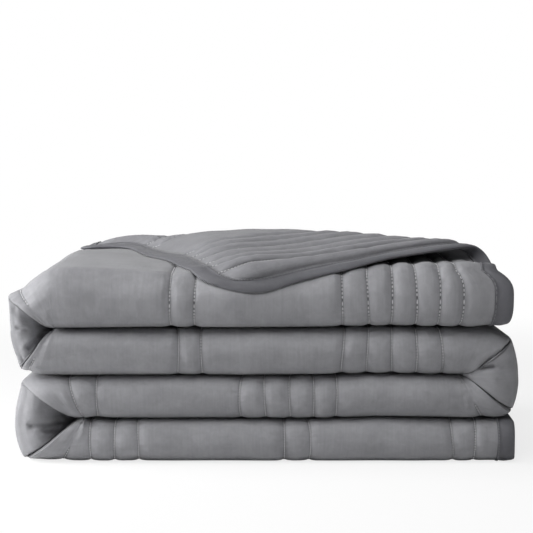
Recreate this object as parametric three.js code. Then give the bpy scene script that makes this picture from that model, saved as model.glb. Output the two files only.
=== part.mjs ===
// A quilted blanket, doubled twice across its width and then laid back and forth in four tiers.
// One bound corner of the top layer is turned over towards the front.
// Lengths are in millimetres: X to the right, Y to the back, Z up.
import * as THREE from "three";

// Driving sizes of the stack
const STACK_DEPTH = 378;
const LAYERS_PER_TIER = 4;
const LAYER_GAP = 1.3;
const SEAM_GAP = 0.4;
const RIGHT_END_X = 245;
const END_LEAN = 18;
const END_LEAN_REACH = 115;

// Bound edge
const BINDING_WIDTH = 17;
const BINDING_HALF_THICKNESS = 3.2;
const BINDING_NOSE_HALF_THICKNESS = 1.5;
const BINDING_CROWN_SHARE = 0.7;
const CORNER_RADIUS = 45;
const CORNER_STEPS = 8;
const EDGE_TAPER = 18;

// Quilting: seams run across the width, in groups of narrow channels between wide plain ones
const SEAM_PITCH = 25.4;
const SEAM_HALF_WIDTH = 6;
const SEAM_DEPTH = 1.7;

// Front rolls and the pinched gussets at the turns
const ROLL_DEPTH_SHARE = 0.4;
const ROLL_SQUARENESS = 0.8;
const GUSSET_DEPTH = 44;
const GUSSET_FLATTENING = 0.45;
const GUSSET_THINNING = 0.65;
const INNER_ROLL_SET_BACK = 6;
const INNER_GUSSET_SET_BACK = 10;
const PLEAT_SWEEP = THREE.MathUtils.degToRad(9);

// Turned-over corner: the fold line in plan, measured from the front of the stack
const FOLD_POINT = new THREE.Vector2(100, 146.8);
const FOLD_ANGLE = THREE.MathUtils.degToRad(-36);
const FOLD_RADIUS = 8.5;
const FOLD_START_GATHER = 14;
const FOLD_START_FROM_X = -110;
const FOLD_START_SPAN = 120;
const FLAP_SETTLE_LENGTH = 120;
const FLAP_AIR = 2.6;
const DRAPE_SPREAD = 1.02;

// Soft rise of the top tier, full at its top layer
const DOME_RISE = 20;
const DOME_CENTRE = new THREE.Vector2(60, 235);
const DOME_REACH = new THREE.Vector2(275, 190);

// Tiers from the top down. The flat cloth's face points up in the first and third.
const TIERS = [
  { floor: 142.0, height: 65.0, faceUp: 1, front: 0, back: 0 },
  { floor: 91.5, height: 50.5, faceUp: -1, front: 3, back: 5 },
  { floor: 45.5, height: 46.0, faceUp: 1, front: 5, back: 2 },
  { floor: 0.0, height: 45.5, faceUp: -1, front: 2, back: 7 },
];

// Turns between the tiers: outline distances from the crease, by angle down from the upper tier.
const TURNS = [
  { side: -1, apexX: -215, tipAngles: [58, 140], reach: [65, 62, 67, 53, 61, 56, 50.5] },
  { side: 1, apexX: 216, tipAngles: [49, 128], reach: [50.5, 53, 58, 53, 54, 49, 46] },
  { side: -1, apexX: -197, tipAngles: [61, 131], reach: [46, 60, 72, 71, 68, 58, 45.5] },
];
const TURN_LENGTH = 110;

// Seam groups in the order of the cloth, from the top tier's right end: where each starts.
const SEAM_GROUPS = [
  { tier: 0, startX: 207, channels: 5 },
  { tier: 0, startX: -74, channels: 1 },
  { tier: 1, startX: -93, channels: 1 },
  { tier: 1, startX: 81, channels: 4 },
  { tier: 2, startX: 75, channels: 4 },
  { tier: 2, startX: -175, channels: 1 },
  { tier: 3, startX: -185, channels: 2 },
  { tier: 3, startX: 19, channels: 1 },
  { tier: 3, startX: 195, channels: 1 },
];

// Flat lengths across the width: straight layers and the folds that join them
const LAYER_LENGTH = 330;
const OUTER_ROLL_LENGTH = 78;
const TIGHT_FOLD_LENGTH = 20;
const WIDTH_PIECES = [
  { kind: "outerUpper", length: LAYER_LENGTH },
  { kind: "frontRoll", length: OUTER_ROLL_LENGTH },
  { kind: "outerLower", length: LAYER_LENGTH },
  { kind: "backFold", length: TIGHT_FOLD_LENGTH },
  { kind: "innerLower", length: LAYER_LENGTH },
  { kind: "innerRoll", length: TIGHT_FOLD_LENGTH },
  { kind: "innerUpper", length: LAYER_LENGTH },
];
const FLAT_WIDTH = WIDTH_PIECES.reduce((sum, piece) => sum + piece.length, 0);

// Sampling of the solids
const FRONT_ROLL_STEPS = 6;
const TIGHT_FOLD_STEPS = 3;
const FOLD_STEPS = 4;
const FLAP_STEPS = 5;
const FLAT_STEPS = 2;
const FOLD_START_STEP = 11;
const FOLD_START_STEPS = 6;
const LEAST_FLAP = 20;
const LEAST_STATION_STEP = 2.5;

const lerp = THREE.MathUtils.lerp;
const clamp01 = (value) => THREE.MathUtils.clamp(value, 0, 1);
const ease = (value) => THREE.MathUtils.smoothstep(value, 0, 1);
const signedPower = (value, power) => Math.sign(value) * Math.abs(value) ** power;

// Lengthwise path: a run for each tier and a turn between each two
function lengthPieces() {
  const starts = [RIGHT_END_X, ...TURNS.map((turn) => turn.apexX)];
  const ends = [...TURNS.map((turn) => turn.apexX), RIGHT_END_X];
  const pieces = [];
  let from = 0;
  TIERS.forEach((tier, index) => {
    const run = { kind: "run", tier, index, from, startX: starts[index] };
    run.length = Math.abs(ends[index] - starts[index]);
    run.heading = Math.sign(ends[index] - starts[index]);
    pieces.push(run);
    from += run.length;
    if (index < TURNS.length) {
      pieces.push({ kind: "turn", turn: TURNS[index], index, from, length: TURN_LENGTH });
      from += TURN_LENGTH;
    }
  });
  return pieces;
}
const LENGTH_PIECES = lengthPieces();
const LAST_RUN = LENGTH_PIECES[LENGTH_PIECES.length - 1];
const FLAT_LENGTH = LAST_RUN.from + LAST_RUN.length;
const [TOP_RUN, TOP_TURN] = LENGTH_PIECES;

// The turned-over corner's fold leaves the cloth half way to the first turn's upper tip
const HALF_TURN_DEGREES = 180;
const FLAP_END = TOP_TURN.from + (TURN_LENGTH * TURNS[0].tipAngles[0]) / (2 * HALF_TURN_DEGREES);

// Outline distance of a turn at an angle, eased between its tips and the flats beside them,
// and kept between the top of the upper tier and the underside of the lower one
function turnReach({ turn, index: upper }, angle) {
  const [upperTip, lowerTip] = turn.tipAngles.map(THREE.MathUtils.degToRad);
  const knots = [0, 0.6 * upperTip, upperTip, (upperTip + lowerTip) / 2, lowerTip];
  knots.push((lowerTip + Math.PI) / 2, Math.PI);
  let index = 0;
  while (index < knots.length - 2 && angle > knots[index + 1]) index += 1;
  const share = clamp01((angle - knots[index]) / (knots[index + 1] - knots[index]));
  const wanted = lerp(turn.reach[index], turn.reach[index + 1], ease(share));
  const tier = TIERS[angle < Math.PI / 2 ? upper : upper + 1];
  return Math.min(wanted, tier.height / Math.abs(Math.cos(angle)));
}

// How far a turn's front is pinched in: 0 on the rolls, 1 on the gusset between the pleats
function gussetShare(turn, angle) {
  const [upperTip, lowerTip] = turn.tipAngles.map(THREE.MathUtils.degToRad);
  return ease((angle - upperTip) / PLEAT_SWEEP) * ease((lowerTip - angle) / PLEAT_SWEEP);
}

// Place on the lengthwise path: a run's X, or a turn's angle, with the sizes of the tier there
function stationAt(along) {
  const piece =
    LENGTH_PIECES.find((entry) => along <= entry.from + entry.length) ?? LAST_RUN;
  const local = along - piece.from;
  if (piece.kind === "run") {
    const { tier } = piece;
    const x = piece.startX + piece.heading * local;
    const { height, front, back } = tier;
    return { piece, x, height, front, back, pinch: 0, outerFace: 1 };
  }
  const { turn, index } = piece;
  const share = local / piece.length;
  const angle = Math.PI * share;
  return {
    piece,
    angle,
    height: turnReach(piece, angle),
    front: lerp(TIERS[index].front, TIERS[index + 1].front, share),
    back: lerp(TIERS[index].back, TIERS[index + 1].back, share),
    pinch: gussetShare(turn, angle),
    outerFace: TIERS[index].faceUp,
  };
}

// Distance along the cloth of an X on a tier's run
function alongOf(tierIndex, x) {
  const run = LENGTH_PIECES.find((entry) => entry.kind === "run" && entry.index === tierIndex);
  return run.from + (x - run.startX) * run.heading;
}

const layerPitch = (station) => station.height / LAYERS_PER_TIER;
const clothThickness = (station) => layerPitch(station) - LAYER_GAP;

// How far the gusset sets a layer's front back, by the layer's level in the tier
function gussetSetBack(station, level) {
  const outermost = 1.5 * layerPitch(station);
  const outerness = (station.outerFace * level) / outermost;
  return (station.pinch * GUSSET_DEPTH * (1 - outerness)) / 2;
}

// Middle of the cloth in a tier's section: y from front to back, and the level in the tier
function sectionPoint(across, station) {
  const pitch = layerPitch(station);
  const thickness = clothThickness(station);
  const outer = 1.5 * pitch;
  const inner = 0.5 * pitch;
  const bulge = station.height * ROLL_DEPTH_SHARE * lerp(1, 1 - GUSSET_FLATTENING, station.pinch);
  const fullBulge = station.height * ROLL_DEPTH_SHARE;
  const rollY = thickness / 2 + fullBulge + station.front;
  const innerSetBack = INNER_ROLL_SET_BACK + INNER_GUSSET_SET_BACK * station.pinch;
  const deepest = gussetSetBack(station, -station.outerFace * inner);
  const innerRollY = rollY + Math.max(0, outer - bulge) + innerSetBack + deepest;
  const edgeY = STACK_DEPTH - BINDING_WIDTH - SEAM_GAP - station.back;
  const backFoldY = STACK_DEPTH - station.back - inner - thickness / 2;
  const frontAt = (y, level) => y + gussetSetBack(station, level);

  let index = 0;
  let local = across;
  while (index < WIDTH_PIECES.length - 1 && local > WIDTH_PIECES[index].length) {
    local -= WIDTH_PIECES[index].length;
    index += 1;
  }
  const { kind, length } = WIDTH_PIECES[index];
  const share = local / length;
  const sweep = Math.PI * share;
  switch (kind) {
    case "outerUpper":
      return [lerp(edgeY, frontAt(rollY, outer), share), outer];
    case "frontRoll": {
      const level = outer * signedPower(Math.cos(sweep), ROLL_SQUARENESS);
      return [frontAt(rollY, level) - bulge * signedPower(Math.sin(sweep), ROLL_SQUARENESS), level];
    }
    case "outerLower":
      return [lerp(frontAt(rollY, -outer), backFoldY, share), -outer];
    case "backFold":
      return [backFoldY + inner * Math.sin(sweep), -pitch - inner * Math.cos(sweep)];
    case "innerLower":
      return [lerp(backFoldY, innerRollY, share), -inner];
    case "innerRoll":
      return [innerRollY - inner * Math.sin(sweep), -inner * Math.cos(sweep)];
    default:
      return [lerp(innerRollY, edgeY, share), inner];
  }
}

// The same place moved off the middle of the cloth, towards its face
function offsetSectionPoint(across, offset, station) {
  const step = 0.05;
  const [y, level] = sectionPoint(across, station);
  const [y0, level0] = sectionPoint(across - step, station);
  const [y1, level1] = sectionPoint(across + step, station);
  const length = Math.hypot(y1 - y0, level1 - level0);
  return [y + (offset * (level1 - level0)) / length, level - (offset * (y1 - y0)) / length];
}

// Top layer of the stack and its turned-over corner
const TOP_STATION = stationAt(TOP_RUN.length / 2);
const TOP_LEVEL_Z = TIERS[0].floor + TIERS[0].height / 2 + 1.5 * layerPitch(TOP_STATION);
const TOP_ROLL_Y = sectionPoint(LAYER_LENGTH, TOP_STATION)[0];
const FOLD_NORMAL = new THREE.Vector2(-Math.sin(FOLD_ANGLE), Math.cos(FOLD_ANGLE));
const FLAP_LIFT = clothThickness(TOP_STATION) + FLAP_AIR;
const DEPTH_AXIS = new THREE.Vector3(0, 1, 0);

// Distance beyond the fold line, which bows out to the left near its start
const foldGather = (x) => FOLD_START_GATHER * ease((FOLD_START_FROM_X - x) / FOLD_START_SPAN);
const beyondFold = (x, y) =>
  (x - FOLD_POINT.x) * FOLD_NORMAL.x + (y - FOLD_POINT.y) * FOLD_NORMAL.y + foldGather(x);

function domeRise(x, y) {
  const across = clamp01(1 - ((x - DOME_CENTRE.x) / DOME_REACH.x) ** 2);
  const back = clamp01(1 - ((y - DOME_CENTRE.y) / DOME_REACH.y) ** 2);
  return DOME_RISE * across * across * back * back;
}

// Drapes a place on the flap over the top tier's front roll
function drapeOverRoll(x, y, lift, offset) {
  const base = TOP_LEVEL_Z + domeRise(x, y);
  const past = TOP_ROLL_Y - y;
  if (past <= 0) return new THREE.Vector3(x, y, base + lift + offset);
  const reach = lift + offset;
  const rise = 1.5 * layerPitch(TOP_STATION);
  const bulge = TIERS[0].height * ROLL_DEPTH_SHARE;
  const arc = DRAPE_SPREAD * (rise + bulge + 2 * lift) * (Math.PI / 4);
  const sweep = Math.min((past / arc) * (Math.PI / 2), Math.PI / 2);
  const forward = (bulge + reach) * signedPower(Math.sin(sweep), ROLL_SQUARENESS);
  const up = (rise + reach) * signedPower(Math.cos(sweep), ROLL_SQUARENESS);
  return new THREE.Vector3(x, TOP_ROLL_Y - forward, base - rise + up);
}

// Rolls what lies beyond the fold line over a soft bend and lays it back on the stack
function foldOver(x, y, offset) {
  const distance = beyondFold(x, y);
  if (distance <= 0) return new THREE.Vector3(x, y, TOP_LEVEL_Z + domeRise(x, y) + offset);
  const footX = x - distance * FOLD_NORMAL.x;
  const footY = y - distance * FOLD_NORMAL.y;
  const bend = distance / FOLD_RADIUS;
  if (bend < Math.PI) {
    const out = (FOLD_RADIUS - offset) * Math.sin(bend);
    const up = FOLD_RADIUS - (FOLD_RADIUS - offset) * Math.cos(bend);
    const planX = footX + out * FOLD_NORMAL.x;
    const planY = footY + out * FOLD_NORMAL.y;
    return new THREE.Vector3(planX, planY, TOP_LEVEL_Z + domeRise(footX, footY) + up);
  }
  const laid = distance - Math.PI * FOLD_RADIUS;
  const planX = footX - laid * FOLD_NORMAL.x;
  const planY = footY - laid * FOLD_NORMAL.y;
  const lift = lerp(2 * FOLD_RADIUS, FLAP_LIFT, ease(laid / FLAP_SETTLE_LENGTH));
  return drapeOverRoll(planX, planY, lift, -offset);
}

// The top tier's right end leans inwards above and a little below its roll's front
function leanOf(station, level) {
  const height = level / (1.5 * layerPitch(station));
  const lean = END_LEAN * (height > 0 ? height * height : 0.5 * height * height);
  return lean * ease(1 - (RIGHT_END_X + BINDING_WIDTH - station.x) / END_LEAN_REACH);
}

// Place in a turn, round the crease between its two tiers
function turnPoint({ piece, height, outerFace, angle }, y, level) {
  const radius = height / 2 + outerFace * level;
  const { side, apexX } = piece.turn;
  const x = apexX + side * radius * Math.sin(angle);
  return new THREE.Vector3(x, y, TIERS[piece.index].floor + radius * Math.cos(angle));
}

// Top layer in the first turn, where the fold starts on its slope
function foldOnSlope(across, offset, station) {
  const middle = turnPoint(station, ...sectionPoint(across, station));
  const level = TOP_LEVEL_Z + domeRise(middle.x, middle.y);
  const flat = new THREE.Vector3(middle.x, middle.y, level);
  const folded = foldOver(middle.x, middle.y, offset).sub(flat);
  return folded.applyAxisAngle(DEPTH_AXIS, station.piece.turn.side * station.angle).add(middle);
}

// Folds a place of the flat cloth: along its length, across its width and off its middle
function foldedPoint(along, across, offset) {
  const station = stationAt(along);
  const [y, level] = offsetSectionPoint(across, offset, station);
  const { piece } = station;
  if (piece === TOP_TURN && along <= FLAP_END && across < LAYER_LENGTH) {
    return foldOnSlope(across, offset, station);
  }
  if (piece.kind === "turn") return turnPoint(station, y, level);
  if (piece !== TOP_RUN) {
    const middle = piece.tier.floor + piece.tier.height / 2;
    return new THREE.Vector3(station.x, y, middle + piece.tier.faceUp * level);
  }
  const x = station.x - leanOf(station, level);
  if (across < LAYER_LENGTH) return foldOver(x, sectionPoint(across, station)[0], offset);
  const rise = domeRise(x, y) * (0.5 + level / station.height);
  return new THREE.Vector3(x, y, piece.tier.floor + piece.tier.height / 2 + level + rise);
}

// Quilting seams along the cloth
function seamPlaces() {
  return SEAM_GROUPS.flatMap(({ tier, startX, channels }) => {
    const first = alongOf(tier, startX);
    return Array.from({ length: channels + 1 }, (_, index) => first + index * SEAM_PITCH);
  });
}
const SEAMS = seamPlaces();

// Half the cloth's thickness: thinner at each seam, at the bound ends and in the gussets
function halfThickness(along, across, edgeDistance) {
  const station = stationAt(along);
  const onRoll = across >= LAYER_LENGTH && across <= LAYER_LENGTH + OUTER_ROLL_LENGTH;
  const squeeze = onRoll ? GUSSET_THINNING * station.pinch : 0;
  const full = ((1 - squeeze) * clothThickness(station)) / 2;
  const nearest = Math.min(...SEAMS.map((seam) => Math.abs(seam - along)));
  const quilted = full - SEAM_DEPTH * clamp01(1 - nearest / SEAM_HALF_WIDTH);
  const endDistance = Math.min(along, FLAT_LENGTH - along, edgeDistance);
  return lerp(BINDING_HALF_THICKNESS, quilted, clamp01(endDistance / EDGE_TAPER));
}

// How far the rounded corner sets the long edges in, near the ends of the cloth
function cornerInset(along) {
  const endDistance = Math.min(along, FLAT_LENGTH - along);
  if (endDistance >= CORNER_RADIUS) return 0;
  return CORNER_RADIUS - Math.sqrt(CORNER_RADIUS ** 2 - (CORNER_RADIUS - endDistance) ** 2);
}

// Places along the cloth where the solid has a section
function stationPlaces() {
  const wanted = [0, FLAT_LENGTH];
  SEAMS.forEach((seam) => wanted.push(seam - SEAM_HALF_WIDTH, seam, seam + SEAM_HALF_WIDTH));
  for (let step = 1; step <= CORNER_STEPS; step += 1) {
    const inset = CORNER_RADIUS * (1 - Math.cos((step / CORNER_STEPS) * (Math.PI / 2)));
    wanted.push(inset, FLAT_LENGTH - inset);
  }
  for (let step = 1; step <= FOLD_START_STEPS; step += 1) {
    wanted.push(FLAP_END - step * FOLD_START_STEP);
  }
  wanted.push(...turnPlaces());
  wanted.sort((a, b) => a - b);
  return wanted.filter((place, index) => index === 0 || place - wanted[index - 1] > LEAST_STATION_STEP);
}

function turnPlaces() {
  return LENGTH_PIECES.filter((piece) => piece.kind === "turn").flatMap((piece) => {
    const [upperTip, lowerTip] = piece.turn.tipAngles.map(THREE.MathUtils.degToRad);
    const angles = [0, upperTip / 2, upperTip, upperTip + PLEAT_SWEEP, (upperTip + lowerTip) / 2];
    angles.push(lowerTip - PLEAT_SWEEP, lowerTip, (lowerTip + Math.PI) / 2, Math.PI);
    return angles.map((angle) => piece.from + (piece.length * angle) / Math.PI);
  });
}

const spread = (from, to, steps) =>
  Array.from({ length: steps }, (_, index) => lerp(from, to, (index + 1) / steps));

// Places across the width from the front roll to the inner layer's free edge
function foldedRows(lastEdge) {
  const rows = [];
  let from = LAYER_LENGTH;
  WIDTH_PIECES.slice(1).forEach(({ kind, length }, index, pieces) => {
    const to = index === pieces.length - 1 ? lastEdge : from + length;
    const steps = { frontRoll: FRONT_ROLL_STEPS, backFold: TIGHT_FOLD_STEPS, innerRoll: TIGHT_FOLD_STEPS };
    rows.push(...spread(from, to, steps[kind] ?? 1));
    from = to;
  });
  return rows;
}

// Middle of the top layer at its front, on the top run or on the first turn's slope
function topLayerPlace(station) {
  const [y, level] = sectionPoint(LAYER_LENGTH, station);
  if (station.piece === TOP_TURN) return turnPoint(station, y, level);
  return new THREE.Vector3(station.x - leanOf(station, level), y, TOP_LEVEL_Z);
}

// Places across the top layer: its bound edge, the laid-over part, the bend and the flat part
function flapRows(along, edge) {
  const station = stationAt(along);
  const { x } = topLayerPlace(station);
  const foldY = FOLD_POINT.y - ((x - FOLD_POINT.x) * FOLD_NORMAL.x + foldGather(x)) / FOLD_NORMAL.y;
  const [edgeY] = sectionPoint(0, station);
  const turned = Math.max(edgeY - foldY - edge, LEAST_FLAP);
  const fold = edge + turned;
  const taper = Math.min(EDGE_TAPER, turned / 5);
  const bendStart = fold - Math.min((Math.PI * FOLD_RADIUS) / FOLD_NORMAL.y, 0.6 * turned);
  return [
    edge,
    edge + taper,
    ...spread(edge + taper, bendStart, FLAP_STEPS),
    ...spread(bendStart, fold, FOLD_STEPS),
    ...spread(fold, LAYER_LENGTH, FLAT_STEPS),
  ];
}

function rowsAt(along) {
  const edge = cornerInset(along);
  const first = along <= FLAP_END ? flapRows(along, edge) : [edge, LAYER_LENGTH];
  return [...first, ...foldedRows(FLAT_WIDTH - edge)];
}

// Gathers points and triangles into one mesh
class SolidBuilder {
  constructor() {
    this.points = [];
    this.triangles = [];
  }

  add(point) {
    this.points.push(point.x, point.y, point.z);
    return this.points.length / 3 - 1;
  }

  quad(a, b, c, d) {
    this.triangles.push(a, b, c, a, c, d);
  }

  // Joins two rows of points: one to one, or by their places where the counts differ
  zip(rowA, placesA, rowB, placesB, flipped) {
    if (rowA.length === rowB.length) {
      rowA.slice(1).forEach((corner, index) => {
        if (flipped) this.quad(rowA[index], corner, rowB[index + 1], rowB[index]);
        else this.quad(rowA[index], rowB[index], rowB[index + 1], corner);
      });
      return;
    }
    let a = 0;
    let b = 0;
    while (a < rowA.length - 1 || b < rowB.length - 1) {
      const nextA = a < rowA.length - 1 ? placesA[a + 1] : Infinity;
      const nextB = b < rowB.length - 1 ? placesB[b + 1] : Infinity;
      const third = nextA <= nextB ? rowA[a + 1] : rowB[b + 1];
      const corners = flipped ? [rowA[a], third, rowB[b]] : [rowA[a], rowB[b], third];
      this.triangles.push(...corners);
      if (nextA <= nextB) a += 1;
      else b += 1;
    }
  }

  mesh(name, color) {
    const geometry = new THREE.BufferGeometry();
    geometry.setAttribute("position", new THREE.Float32BufferAttribute(this.points, 3));
    geometry.setIndex(this.triangles);
    geometry.computeVertexNormals();
    const material = new THREE.MeshStandardMaterial({ color, roughness: 0.85 });
    const mesh = new THREE.Mesh(geometry, material);
    mesh.name = name;
    return mesh;
  }
}

// The quilted cloth as one closed sheet with a face and a reverse
function buildPanel() {
  const solid = new SolidBuilder();
  const sections = stationPlaces().map((along) => {
    const rows = rowsAt(along);
    const edge = rows[0];
    const onTop = along <= FLAP_END;
    const half = (row) => halfThickness(along, row, onTop ? row - edge : Infinity);
    const face = rows.map((row) => solid.add(foldedPoint(along, row, half(row))));
    const reverse = rows.map((row) => solid.add(foldedPoint(along, row, -half(row))));
    return { rows, face, reverse };
  });
  sections.slice(1).forEach((next, index) => {
    const last = sections[index];
    solid.zip(last.face, last.rows, next.face, next.rows, false);
    solid.zip(last.reverse, last.rows, next.reverse, next.rows, true);
    const [end, nextEnd] = [last.rows.length - 1, next.rows.length - 1];
    solid.quad(last.face[0], last.reverse[0], next.reverse[0], next.face[0]);
    solid.quad(last.face[end], next.face[nextEnd], next.reverse[nextEnd], last.reverse[end]);
  });
  closeEnd(solid, sections[0], false);
  closeEnd(solid, sections[sections.length - 1], true);
  return solid.mesh("blanket_panel", 0x8c8c8f);
}

function closeEnd(solid, { face, reverse }, last) {
  face.slice(1).forEach((corner, index) => {
    if (last) solid.quad(face[index], reverse[index], reverse[index + 1], corner);
    else solid.quad(face[index], corner, reverse[index + 1], reverse[index]);
  });
}

// Outline of the flat cloth, once round, with the direction out of the cloth at each place
function outlinePlaces() {
  const top = stationPlaces().filter((along) => along > CORNER_RADIUS && along <= FLAP_END);
  const bends = turnPlaces().filter((along) => along > FLAP_END);
  const straight = (along, across, outAlong, outAcross) => ({ along, across, outAlong, outAcross });
  const farEdge = FLAT_LENGTH - CORNER_RADIUS;
  const firstEdge = [...top, ...bends].map((along) => straight(along, 0, 0, -1));
  const secondEdge = turnPlaces().map((along) => straight(along, FLAT_WIDTH, 0, 1)).reverse();
  const inside = (row) => row > CORNER_RADIUS && row < FLAT_WIDTH - CORNER_RADIUS;
  const endRows = (along) => rowsAt(along).filter(inside);
  return [
    ...firstEdge,
    ...cornerPlaces(farEdge, CORNER_RADIUS, -Math.PI / 2),
    ...endRows(FLAT_LENGTH).map((row) => straight(FLAT_LENGTH, row, 1, 0)),
    ...cornerPlaces(farEdge, FLAT_WIDTH - CORNER_RADIUS, 0),
    ...secondEdge,
    ...cornerPlaces(CORNER_RADIUS, FLAT_WIDTH - CORNER_RADIUS, Math.PI / 2),
    ...endRows(0).map((row) => straight(0, row, -1, 0)).reverse(),
    ...cornerPlaces(CORNER_RADIUS, CORNER_RADIUS, Math.PI),
  ];
}

function cornerPlaces(centreAlong, centreAcross, from) {
  return Array.from({ length: CORNER_STEPS + 1 }, (_, step) => {
    const angle = from + (step / CORNER_STEPS) * (Math.PI / 2);
    const [outAlong, outAcross] = [Math.cos(angle), Math.sin(angle)];
    const along = centreAlong + CORNER_RADIUS * outAlong;
    return { along, across: centreAcross + CORNER_RADIUS * outAcross, outAlong, outAcross };
  });
}

// The bound edge as one closed tape round the cloth
function buildBinding() {
  const solid = new SolidBuilder();
  const crown = BINDING_WIDTH * BINDING_CROWN_SHARE;
  const profile = [
    [SEAM_GAP, BINDING_HALF_THICKNESS],
    [crown, BINDING_HALF_THICKNESS],
    [BINDING_WIDTH, BINDING_NOSE_HALF_THICKNESS],
    [BINDING_WIDTH, -BINDING_NOSE_HALF_THICKNESS],
    [crown, -BINDING_HALF_THICKNESS],
    [SEAM_GAP, -BINDING_HALF_THICKNESS],
  ];
  const rings = outlinePlaces().map(({ along, across, outAlong, outAcross }) =>
    profile.map(([out, offset]) =>
      solid.add(foldedPoint(along + out * outAlong, across + out * outAcross, offset)),
    ),
  );
  rings.forEach((ring, index) => {
    const next = rings[(index + 1) % rings.length];
    ring.forEach((corner, side) => {
      const after = (side + 1) % ring.length;
      solid.quad(corner, ring[after], next[after], next[side]);
    });
  });
  return solid.mesh("edge_binding", 0x55565a);
}

// The whole stack, standing on the floor and centred over its footprint
function buildBlanket() {
  const stack = new THREE.Group();
  stack.add(buildPanel(), buildBinding());
  const box = new THREE.Box3().setFromObject(stack);
  const centre = box.getCenter(new THREE.Vector3());
  stack.children.forEach((mesh) => mesh.geometry.translate(-centre.x, -centre.y, -box.min.z));
  return stack;
}

export default buildBlanket();
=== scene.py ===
"""Looks of a folded quilted blanket: padded cloth, bound edge, sewing thread and a plain studio.

The flat cloth is measured in millimetres, along its length and across its width. The fold maps each
of its places to the stack: doubled twice across the width, then laid back and forth in four tiers.
"""
import logging
import math
from dataclasses import dataclass, field
from enum import Enum

import bpy
import numpy as np
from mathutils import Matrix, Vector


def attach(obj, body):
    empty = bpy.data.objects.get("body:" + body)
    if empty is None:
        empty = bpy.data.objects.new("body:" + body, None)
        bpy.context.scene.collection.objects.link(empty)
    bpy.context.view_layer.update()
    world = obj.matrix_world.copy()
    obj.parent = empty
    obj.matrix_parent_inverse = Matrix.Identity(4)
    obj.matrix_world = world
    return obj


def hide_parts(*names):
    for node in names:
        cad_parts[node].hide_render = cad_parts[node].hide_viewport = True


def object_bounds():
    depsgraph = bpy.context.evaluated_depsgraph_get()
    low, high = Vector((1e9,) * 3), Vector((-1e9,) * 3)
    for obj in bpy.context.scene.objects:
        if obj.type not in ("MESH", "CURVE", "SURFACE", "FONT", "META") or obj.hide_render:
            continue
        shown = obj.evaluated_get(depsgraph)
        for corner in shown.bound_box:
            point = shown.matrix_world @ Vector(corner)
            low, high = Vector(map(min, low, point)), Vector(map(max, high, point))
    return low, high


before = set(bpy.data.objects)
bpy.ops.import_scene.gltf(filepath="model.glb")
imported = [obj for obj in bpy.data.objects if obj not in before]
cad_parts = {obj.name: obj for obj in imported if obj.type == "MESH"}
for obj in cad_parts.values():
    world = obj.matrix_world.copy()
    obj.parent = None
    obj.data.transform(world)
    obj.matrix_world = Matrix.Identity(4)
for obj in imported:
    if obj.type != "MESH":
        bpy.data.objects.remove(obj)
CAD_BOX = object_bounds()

Array = np.ndarray
LOG = logging.getLogger("blanket")
METRE_PER_MM = 0.001
BODY = "root"
FLAT_MAP = "flat_cloth"
# Point attribute with painted shade in the depths of the pleats.
PAINTED_PLEAT_SHADE = "painted_pleat_shade"
# Point attribute with painted shade along the seam grooves; it also places the darker needle holes.
SEAM_SHADE_LINE = "seam_shade_line"
STITCH_PITCH = 3.6
TINY = 1e-6
HALF_TURN_DEGREES = 180.0


class PathKind(Enum):
    """Kinds of stretch along the cloth: flat in a tier, or round a turn between two tiers."""

    RUN = "run"
    TURN = "turn"


class ClothSide(Enum):
    """Sides of the cloth, with the sign of the offset towards them."""

    FACE = 1
    REVERSE = -1


def ease(value: Array) -> Array:
    """Smooth step from 0 to 1."""
    clipped = np.clip(value, 0.0, 1.0)
    return clipped * clipped * (3.0 - 2.0 * clipped)


def lerp(start: Array, end: Array, share: Array) -> Array:
    """Straight blend from start to end."""
    return start + (end - start) * share


def signed_power(value: Array, power: float | Array) -> Array:
    """Power of the size of a value, with its sign kept."""
    return np.sign(value) * np.abs(value) ** power


def eased_between(place: Array, knots: Array, values: Array) -> Array:
    """Values between knots, eased from each knot to the next.

    Args:
        place: Places to read.
        knots: Places of the knots, in order.
        values: Values at the knots.

    Returns:
        The value at each place.
    """
    low = np.searchsorted(knots[1:-1], place, side="left")
    share = (place - knots[low]) / (knots[low + 1] - knots[low])
    return lerp(values[low], values[low + 1], ease(share))


def spread(start: Array, end: Array, steps: int) -> Array:
    """A row of even steps from start to end for each station, the start left out."""
    share = np.arange(1, steps + 1) / steps
    return lerp(start[:, None], end[:, None], share[None, :])


@dataclass(frozen=True)
class Ripples:
    """Soft unevenness: a sum of plane waves with fixed directions and phases."""

    seed: int
    shortest: float
    longest: float
    waves: int = 8

    def at(self, *places: Array) -> Array:
        """Height of the waves at some places.

        Args:
            places: One array for each coordinate.

        Returns:
            Heights, mostly between -1.5 and 1.5.
        """
        draw = np.random.default_rng(self.seed)
        total = np.zeros_like(places[0], dtype=float)
        for _ in range(self.waves):
            direction = draw.normal(size=len(places))
            direction /= np.linalg.norm(direction)
            turns = sum(part * place for part, place in zip(direction, places))
            phase = draw.uniform(0.0, 2.0 * math.pi)
            total += np.sin(2.0 * math.pi * turns / draw.uniform(self.shortest, self.longest) + phase)
        return total / math.sqrt(self.waves)


@dataclass(frozen=True)
class Tier:
    """One tier of the stack: its floor and height, which way the face points, and its set-backs."""

    floor: float
    height: float
    face_up: int
    front: float
    back: float


@dataclass(frozen=True)
class Turn:
    """A turn between two tiers: its crease, the angles of its two tips and its outline.

    The outline is given as angles in degrees, down from the upper tier, with distances from the crease.
    """

    side: int
    apex_x: float
    tips: tuple[float, float]
    outline: tuple[tuple[float, float], ...]
    gusset_depth: float
    gusset_power: float
    flattening: float
    thinning: float
    roundness: tuple[float, float]

    def tip_angles(self) -> tuple[float, float]:
        """Angles of the upper and lower tip, in radians."""
        return math.radians(self.tips[0]), math.radians(self.tips[1])


@dataclass(frozen=True)
class PathPiece:
    """A stretch of the cloth's length: a run in a tier or a turn."""

    kind: PathKind
    index: int
    start: float
    length: float
    start_x: float = 0.0
    heading: int = 0

    @property
    def end(self) -> float:
        """Where the stretch ends along the cloth."""
        return self.start + self.length


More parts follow.
